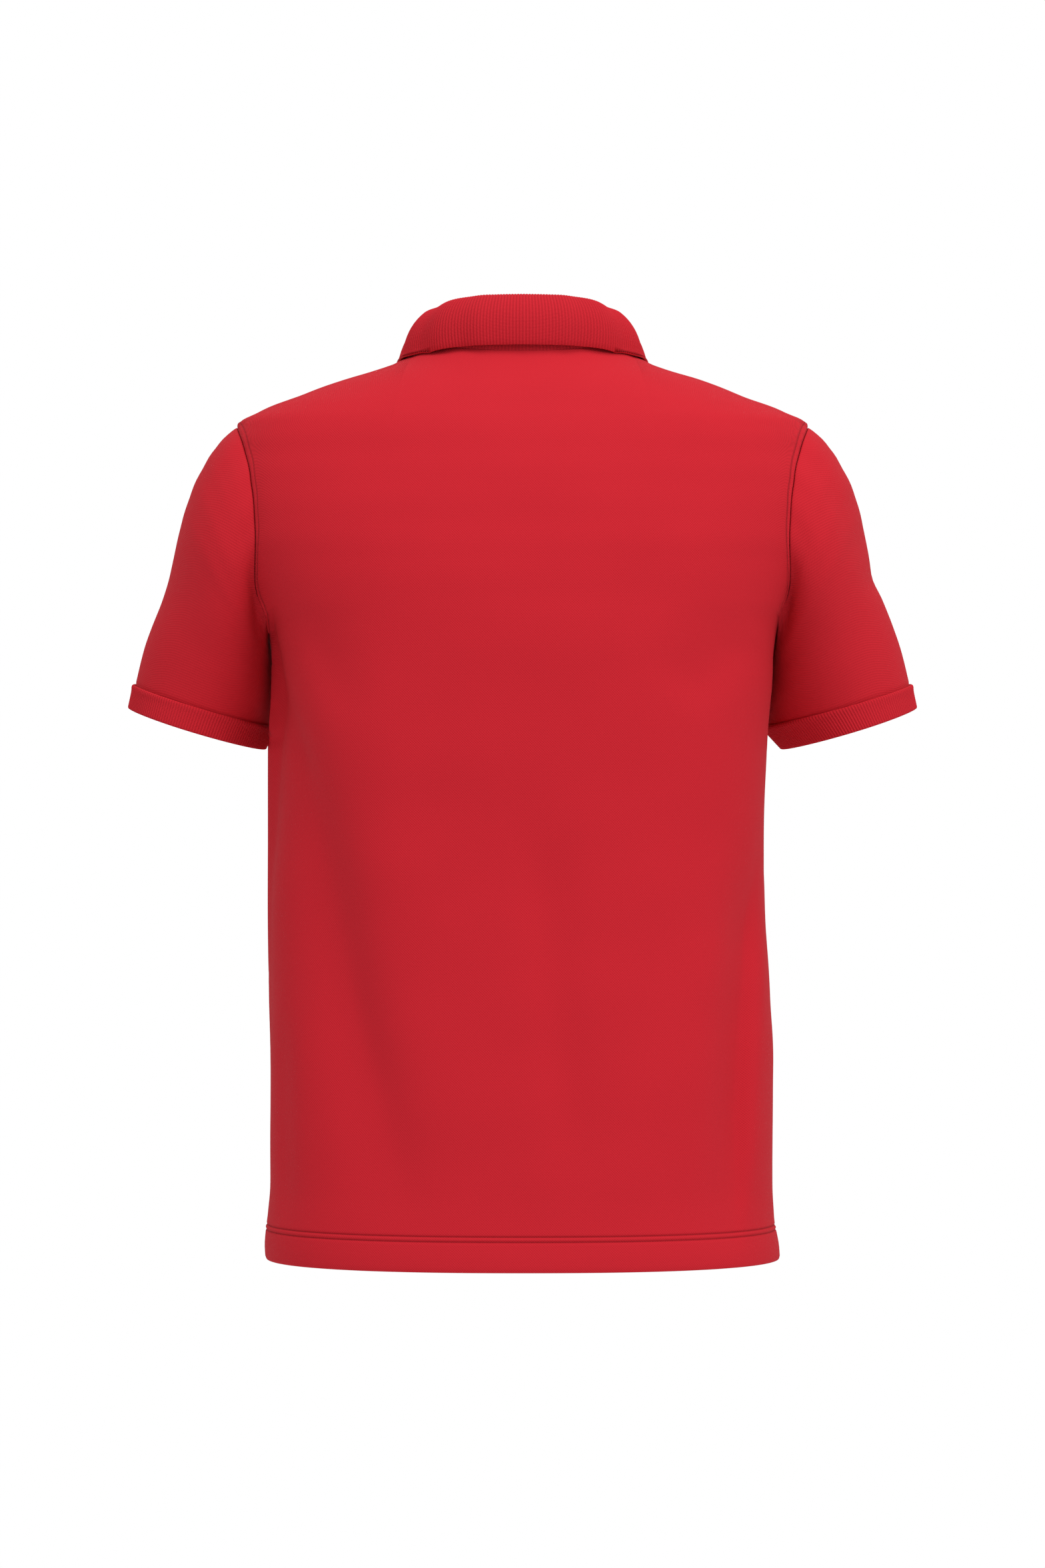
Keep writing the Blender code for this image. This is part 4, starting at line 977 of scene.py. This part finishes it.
def build_panels(pique):
    """The back, the front with its slit, and both sleeves."""
    raw = {side: panel_grid(side) for side in (BACK, FRONT)}
    sleeves = {}
    for hand in (LEFT, RIGHT):
        sleeves[hand] = sleeve_grid(armhole_loop(raw[BACK], raw[FRONT], hand), hand)
    ways = {hand: armhole_ways(sleeves[hand][1][0]) for hand in sleeves}
    panels = {side: finish_panel(raw[side], side, ways) for side in raw}
    made = {}
    for side, name in ((BACK, "back"), (FRONT, "front")):
        grid, outward, edges = panels[side]
        keep = None
        if side == FRONT:
            middle = grid.shape[1] // 2
            low = NECK_FRONT_HEIGHT - PLACKET_LENGTH
            first = int(np.argmin(np.abs(grid[:, middle, 2] - low)))
            keep = np.ones((grid.shape[0] - 1, grid.shape[1] - 1), dtype=bool)
            keep[first:, middle - CENTRE_STEPS:middle + CENTRE_STEPS] = False
        inner = grid - outward * wall_depths(grid)
        mesh = cloth_wall(grid, inner, weave_map(raw[side]), keep=keep, edges=edges)
        made[name] = add_piece(f"{name}_cloth", mesh, pique, [name])
    for hand, name in ((LEFT, "sleeve_left"), (RIGHT, "sleeve_right")):
        column = 0 if hand == LEFT else -1
        plain = {side: unit(body_slope(raw[side]))[SEAM_ROW:, column] for side in raw}
        loop_ways = np.concatenate([plain[BACK][::-1], plain[FRONT][1:-1]])
        grid, outward = finish_sleeve(*sleeves[hand], loop_ways, hand)
        closed = np.concatenate([grid, grid[:, :1]], axis=1)
        across = lengths_along(np.swapaxes(closed, 0, 1)).T
        middle = across[len(across) // 2]
        places = np.stack([np.repeat(middle[None, :-1], len(grid), axis=0),
                           -lengths_along(grid)], axis=-1)
        mesh = cloth_wall(grid, grid - outward * CLOTH, places, wrap=True, turn=middle[-1])
        made[name] = add_piece(f"{name}_cloth", mesh, pique, [name])
    return {side: panels[side][:2] for side in panels}, made


def rib_wave(count):
    """How far out each point stands on its rib, from 0 in a dip to 1 on a crest."""
    return 0.5 - 0.5 * np.cos(np.arange(count) * 2 * math.pi / RIB_POINTS)


def ribbed_wall(middle, out, thin, up, swell=0.0, **closing):
    """A wall of ribs on both sides of its middle, raised outside and softer inside."""
    thin = thin[:, None]
    half = RIB_CLOTH / 2
    crest = rib_wave(middle.shape[1])[None, :]
    face = middle + out * (half * thin + swell - RIB_HEIGHT * (1 - crest) * thin)[..., None]
    back = middle - out * (half * thin - RIB_HEIGHT * INNER_RIBS * crest * thin)[..., None]
    ribs = np.arange(middle.shape[1]) / RIB_POINTS
    places = np.stack(np.broadcast_arrays(ribs, up), axis=-1)
    return cloth_wall(face, back, places, **closing)


def build_cuff(name, hand, rib):
    """A ribbed cuff with rounded rims, sewn on over the sleeve's end."""
    along = np.array([0.0, 0.02, 0.06, 0.12, 0.22, 0.35, 0.50, 0.65, 0.80, 0.90, 0.96, 0.99, 1.0])
    rings = ring_points(CUFF_RINGS, along, turns(CUFF_RIBS * RIB_POINTS), hand)
    out = tube_directions(rings, hand)
    rings[..., 2] -= SEAM_GAP * 1.4 * (1 - along)[:, None]
    edge = np.minimum(along, 1 - along) * CUFF_DEPTH
    thin = np.sqrt(np.clip(1 - (1 - np.clip(edge / RIM_ROUND, 0, 1)) ** 2, 0, 1))
    swell = -pressed(along - 0.12, *CUFF_SWELL)[:, None]
    mesh = ribbed_wall(rings - out * RIB_CLOTH / 2, out, thin, -along[:, None] * CUFF_DEPTH, swell,
                       wrap=True, turn=CUFF_RIBS)
    return add_piece(f"{name}_rib", mesh, rib, [name])


def neckline(panels, around, hand):
    """The neckline that half the collar is sewn to, and the body's way out there."""
    places, points, ways = [], [], []
    on_neck = slice(SHOULDER_COUNT - 1, SHOULDER_COUNT + NECK_STEPS + CENTRE_STEPS)
    for side in (BACK, FRONT):
        neck, way = [part[-1, ::hand][on_neck] for part in panels[side]]
        x = top_edge(side, hand)[0][on_neck]
        angle = np.arccos(np.clip(x / NECK_HALF_WIDTH, 0, 1)) / (math.pi / 2)
        share = angle if side == BACK else angle ** (1 / NECK_FRONT_SPACING)
        share = 0.5 - share * 0.5 if side == BACK else 0.5 + share * 0.5
        order = np.argsort(share)
        keep = order if side == BACK else order[1:]
        places.append(share[keep])
        points.append(neck[keep])
        ways.append(way[keep])
    places, points, ways = [np.concatenate(part) for part in (places, points, ways)]
    return between(around, places, points), unit(between(around, places, ways))


def collar_line(which, around):
    """Points of the collar's fold or of the edge of its fall, on the left."""
    return np.stack([read_column(COLLAR_LINES, f"{which}_{name}", around)
                     for name in ("x", "y", "height")], axis=-1)


def collar_stations():
    """Lengths along the fall and how far round they lie, at each point across the ribs."""
    around = np.linspace(0, COLLAR_END, COLLAR_STATIONS)
    lengths = lengths_along((collar_line("fold", around) + collar_line("edge", around)) / 2)
    fine = np.linspace(-lengths[-1], lengths[-1], COLLAR_RIBS * RIB_POINTS + 1)
    return fine, np.interp(np.abs(fine), lengths, around)


def lift_fall(row, need):
    """Move a row of the fall out until its wall clears the shoulders and the chest."""
    for _ in range(LIFT_ROUNDS):
        slope = body_slope(row)
        steep = np.linalg.norm(slope, axis=-1)
        away = (body_measure(row) - 1) / steep
        below_neck = NECK_SIDE_HEIGHT - row[:, 2]
        low_enough = smooth_step(below_neck, -LIFT_BLEND, LIFT_BLEND)
        push = np.clip(need - away, 0, None) * low_enough
        row = row + slope / steep[:, None] * push[:, None]
    return row


def build_collar(panels, rib):
    """The ribbed collar: stand, fold and fall in one wall."""
    places, around = collar_stations()
    hand = np.where(places < 0, RIGHT, LEFT)
    to_left = (hand == LEFT)[:, None]
    left, right = [neckline(panels, around, side) for side in (LEFT, RIGHT)]
    neck = np.where(to_left, left[0], right[0])
    neck_out = np.where(to_left, left[1], right[1])
    mirror = np.stack(np.broadcast_arrays(hand, 1.0, 1.0), axis=-1)
    fold, edge = [mirror * collar_line(which, around) for which in ("fold", "edge")]
    run = unit((edge - fold) * [1, 1, 0])
    up = np.array([0.0, 0.0, 1.0])
    off_panel = unit(np.cross(neck_out, np.gradient(neck, axis=0)))
    off_panel = off_panel * np.sign(off_panel[:, 2:])
    base = neck + off_panel * SEAM_GAP * 1.15 - neck_out * RIB_CLOTH / 2
    top = fold - up * FOLD_RADIUS
    rows = [base + (top - run * FOLD_RADIUS - base) * share
            for share in np.linspace(0, 1, STAND_ROWS)]
    for turn in np.linspace(0, FOLD_TURN, TURN_ROWS + 1)[1:]:
        rows.append(top + FOLD_RADIUS * (math.sin(turn) * up - math.cos(turn) * run))
    start = rows.pop()
    control = start + (edge - start) * FALL_CONTROL + run * FALL_BULGE
    fall = np.concatenate([np.linspace(0, 1, FALL_ROWS), FALL_RIM])
    for share in fall:
        row = start * (1 - share) ** 2 + control * 2 * share * (1 - share) + edge * share ** 2
        need = EDGE_CLEARANCE + (FALL_CLEARANCE - EDGE_CLEARANCE) * max(1 - share, 0) * 2
        rows.append(lift_fall(row, need + RIB_CLOTH / 2) if share > FALL_LIFTED else row)
    middle = np.stack(rows)
    face_out = unit(np.cross(np.gradient(middle, axis=0), np.gradient(middle, axis=1)))
    if face_out[-1, middle.shape[1] // 2, 1] < 0:
        face_out = -face_out
    face_out[0] = -neck_out
    thin = np.ones(len(middle))
    thin[-len(FALL_RIM):] = FALL_RIM_THIN
    mesh = ribbed_wall(middle, face_out, thin, lengths_along(middle))
    return add_piece("collar_rib", mesh, rib, ["collar"])


def front_surface(x, z):
    """The front's surface with its creases, and its way out."""
    points = body_point(x, z, FRONT)
    out = unit(body_slope(points))
    sunk = crease_depth(points, FRONT, BODY_CREASES) - soft_wander(points)
    from_neck = neck_height(x, FRONT) - z
    return points - out * (sunk * smooth_step(from_neck, 0.0, TOP_CALM))[..., None], out


def placket_lines():
    """The stitched lines of the placket, as places in the view."""
    reach = PLACKET_HALF_WIDTH - PLACKET_STITCHING
    low = NECK_FRONT_HEIGHT - PLACKET_LENGTH + SEAM_GAP
    tall = np.linspace(low + PLACKET_STITCHING, NECK_FRONT_HEIGHT - 0.0015, 60)
    wide = np.linspace(-reach, reach, 14)
    return [(np.full(60, reach), tall), (np.full(60, -reach), tall),
            (wide, np.full(14, low + PLACKET_STITCHING)), (wide, np.full(14, low + PLACKET_BOX))]


def build_placket(pique, thread):
    """The band that fills the slit, with its stitching, and the band behind it."""
    reach = PLACKET_HALF_WIDTH - SEAM_GAP
    edge = np.array([0.0, 0.02, 0.05, 0.09, 0.12, 0.15, 0.19])
    across = np.concatenate([edge, np.linspace(0.26, 0.74, 9), 1 - edge[::-1]])
    x = reach * (1 - 2 * across)
    low = NECK_FRONT_HEIGHT - PLACKET_LENGTH + SEAM_GAP
    up = np.concatenate([np.linspace(0, 0.03, 9), np.linspace(0.04, 1, 96)])
    top_z = neck_height(x, FRONT)
    z = low + up[:, None] * (top_z - low)[None, :]
    x = np.repeat(x[None, :], len(up), axis=0)
    surface, out = front_surface(x, z)
    from_side = reach - np.abs(x)
    from_low = z - low
    proud = PLACKET_PROUD - pressed(np.minimum(from_side, from_low), *PLACKET_EDGE)
    for distance in (from_side - PLACKET_STITCHING, from_low - PLACKET_STITCHING,
                     from_low - PLACKET_BOX):
        proud = proud - pressed(distance, *PLACKET_ROW)
    outer = surface + out * proud[..., None]
    inner = surface + out * (PLACKET_PROUD - PLACKET_CLOTH)
    mesh = cloth_wall(outer, inner, np.stack([x, z], axis=-1))
    band = add_piece("placket_band", mesh, pique, ["placket_top"])
    wide = PLACKET_HALF_WIDTH + UNDER_EXTRA
    under_x = np.linspace(wide, -wide, 15)
    under_z = np.linspace(low - UNDER_EXTRA, NECK_FRONT_HEIGHT, 70)
    grid_x, grid_z = np.meshgrid(under_x, under_z)
    surface, out = front_surface(grid_x, grid_z)
    sunk = max(CLOTH, PLACKET_CLOTH - PLACKET_PROUD) + UNDER_GAP
    outer = surface - out * sunk
    mesh = cloth_wall(outer, outer - out * CLOTH, np.stack([grid_x, grid_z], axis=-1))
    under = add_piece("placket_under_band", mesh, pique, ["placket_under"])
    sewing = bmesh.new()
    for line_x, line_z in placket_lines():
        surface, out = front_surface(line_x, line_z)
        stitch_row(sewing, surface + out * (PLACKET_PROUD - 0.0004), out, **PLACKET_SEWING)
    stitches = add_piece("placket_stitching", sewing, thread)
    return band, under, stitches


def build_buttonhole(name, height, thread):
    """A worked buttonhole: close thread round an upright slit, showing past the button."""
    mesh = bmesh.new()
    lie = np.array([1.0, 0.0, 0.0])
    low, high = height - BUTTONHOLE_HALF, height + BUTTONHOLE_HALF
    lines = [(np.full(46, x), np.linspace(low, high, 46), (0.0009, 0.00020, 0.00035))
             for x in (-0.0011, 0.0011)]
    lines += [(np.linspace(-0.0017, 0.0017, 11), np.full(11, z), (0.00020, 0.0008, 0.0004))
              for z in (low, high)]
    for x, z, (wide, tall, thick) in lines:
        surface, out = front_surface(x, z)
        for spot, way in zip(surface + out * PLACKET_PROUD, out):
            add_stitch(mesh, spot, lie * wide, np.cross(way, lie) * tall, way * thick)
    add_piece(name, mesh, thread)


def build_button(number, height, resin, thread):
    """A turned button with four holes, and the thread that crosses them."""
    surface, out = front_surface(np.array([0.0]), np.array([height]))
    way = out[0]
    spot = surface[0] + way * (PLACKET_PROUD + SEAM_GAP * 1.5)
    tilt = math.atan2(way[2], -way[1])
    place = Matrix.Translation(Vector(spot)) @ Matrix.Rotation(math.pi / 2 - tilt, 4, "X")
    mesh = bmesh.new()
    points = [mesh.verts.new((radius * BUTTON_RADIUS, 0, level * BUTTON_DEPTH))
              for radius, level in BUTTON_PROFILE]
    line = [mesh.edges.new(pair) for pair in zip(points, points[1:])]
    bmesh.ops.spin(mesh, geom=points + line, cent=(0, 0, 0), axis=(0, 0, 1), steps=56,
                   angle=2 * math.pi, use_merge=True)
    bmesh.ops.remove_doubles(mesh, verts=mesh.verts, dist=0.00001)
    button = add_piece(f"button_{number}_turned", mesh, resin, [f"button_{number}"])
    cutters = []
    for turn in turns(4) + math.pi / 4:
        hole = bmesh.new()
        shift = Matrix.Translation((HOLE_OFFSET * math.cos(turn), HOLE_OFFSET * math.sin(turn), 0))
        bmesh.ops.create_cone(hole, cap_ends=True, segments=16, radius1=HOLE_RADIUS,
                              radius2=HOLE_RADIUS, depth=BUTTON_DEPTH * 4, matrix=shift)
        cutters.append(add_object("hole", mesh_data("hole", hole)))
        cut = button.modifiers.new("hole", "BOOLEAN")
        cut.object = cutters[-1]
        cut.operation = "DIFFERENCE"
    graph = bpy.context.evaluated_depsgraph_get()
    cut_mesh = bpy.data.meshes.new_from_object(button.evaluated_get(graph))
    button.modifiers.clear()
    button.data = cut_mesh
    cut_mesh.transform(place)
    cut_mesh.set_sharp_from_angle(angle=math.radians(40))
    for cutter in cutters:
        bpy.data.objects.remove(cutter, do_unlink=True)
    cross = bmesh.new()
    reach = HOLE_OFFSET * math.sqrt(0.5)
    steps = np.linspace(-1, 1, 15)
    arch = BUTTON_DEPTH * BUTTON_PROFILE[0][1] + THREAD_RISE * (1 - steps ** 4)
    arch = arch - THREAD_PLUNGE * np.clip(np.abs(steps) - 0.8, 0, 1) * 5
    for side in (-1, 1):
        for strand in (-STRAND_GAP, 0.0, STRAND_GAP):
            path = np.stack(np.broadcast_arrays(side * reach + strand, steps * reach * 1.05,
                                                arch), axis=-1)
            path = np.array([place @ Vector(point) for point in path])
            stitch_row(cross, path, np.repeat(way[None, :], len(path), axis=0), **BUTTON_SEWING)
    add_piece(f"button_{number}_thread", cross, thread)


def build_sewing(panels, thread):
    """Twin rows round the hem, and the row beside each armhole."""
    hem = bmesh.new()
    for side in (BACK, FRONT):
        grid, outward = panels[side]
        for line in HEM_LINES:
            row = HEM_ROWS.index(line)
            stitch_row(hem, grid[row], outward[row], **HEM_SEWING)
    hem = add_piece("hem_stitching", hem, thread)
    for hand, name in ((LEFT, "left"), (RIGHT, "right")):
        mesh = bmesh.new()
        for side in (BACK, FRONT):
            grid, outward = [part[SEAM_ROW + 1:-2, ::hand][:, :SHOULDER_COUNT + 1]
                             for part in panels[side]]
            path, ways = [], []
            for points, out in zip(grid, outward):
                places = lengths_along(points)
                path.append(between(ARMHOLE_STITCHING, places, points))
                ways.append(between(ARMHOLE_STITCHING, places, out))
            stitch_row(mesh, np.array(path), np.array(ways), **ARMHOLE_SEWING)
        add_piece(f"armhole_stitching_{name}", mesh, thread)
    return hem


# ---- camera, floor and light ----

def set_camera():
    data = bpy.data.cameras.new("camera")
    data.lens = CAMERA_LENS
    data.sensor_width = 36.0
    data.clip_end = 50.0
    camera = add_object("camera", data)
    camera.location = CAMERA_PLACE
    camera.rotation_euler = (math.pi / 2, 0, math.pi)
    bpy.context.scene.camera = camera


def set_studio():
    """A pale floor well below the shirt, white all round, and soft light from the upper right."""
    mesh = bmesh.new()
    bmesh.ops.create_circle(mesh, cap_ends=True, segments=96, radius=3.2,
                            matrix=Matrix.Translation((0, 0, -1.5)))
    floor_finish, _, _ = new_finish("floor_white", {
        "Roughness": 0.9, "Base Color": (0.86, 0.86, 0.86, 1.0)})
    floor = add_object("floor", mesh_data("floor", mesh))
    floor.data.materials.append(floor_finish)
    world = bpy.data.worlds.new("studio")
    bpy.context.scene.world = world
    world.use_nodes = True
    tree = world.node_tree
    soft = tree.nodes["Background"]
    soft.inputs["Color"].default_value = (1, 1, 1, 1)
    soft.inputs["Strength"].default_value = 0.58
    white = add_node(tree, "Background", {"Color": (1, 1, 1, 1), "Strength": 1.0})
    seen = add_node(tree, "LightPath").outputs["Is Camera Ray"]
    mix = add_node(tree, "MixShader", {0: seen, 1: soft.outputs[0], 2: white.outputs[0]})
    put(tree, tree.nodes["World Output"].inputs["Surface"], mix.outputs[0])
    bpy.context.scene.view_settings.view_transform = "Standard"
    for name, place, aim, size, power in AREA_LIGHTS:
        data = bpy.data.lights.new(name, "AREA")
        data.shape = "DISK"
        data.size = size
        data.energy = power
        light = add_object(name, data)
        light.location = place
        light.rotation_euler = (Vector(place) - Vector(aim)).to_track_quat("Z", "Y").to_euler()


def main():
    set_camera()
    set_studio()
    # The contrast sets how dark the painted shade in the pique's pits and the rib's dips is
    pique = knit_finish("pique_cloth", pique_group(), PIQUE_BRIGHT, PIQUE_DARK, "Pits", 0.34,
                        sewn=True)
    rib = knit_finish("ribbed_knit", rib_group(), RIB_BRIGHT, RIB_DARK, "DipShade", 0.50)
    thread = thread_finish()
    resin = button_finish()
    panels, made = build_panels(pique)
    cuffs = {name: build_cuff(name, hand, rib)
             for name, hand in (("cuff_left", LEFT), ("cuff_right", RIGHT))}
    collar = build_collar(panels, rib)
    band, under, band_stitches = build_placket(pique, thread)
    hem = build_sewing(panels, thread)
    for number, height in enumerate(BUTTON_HEIGHTS, start=1):
        build_button(number, height, resin, thread)
        build_buttonhole(f"buttonhole_{number}", height, thread)


main()
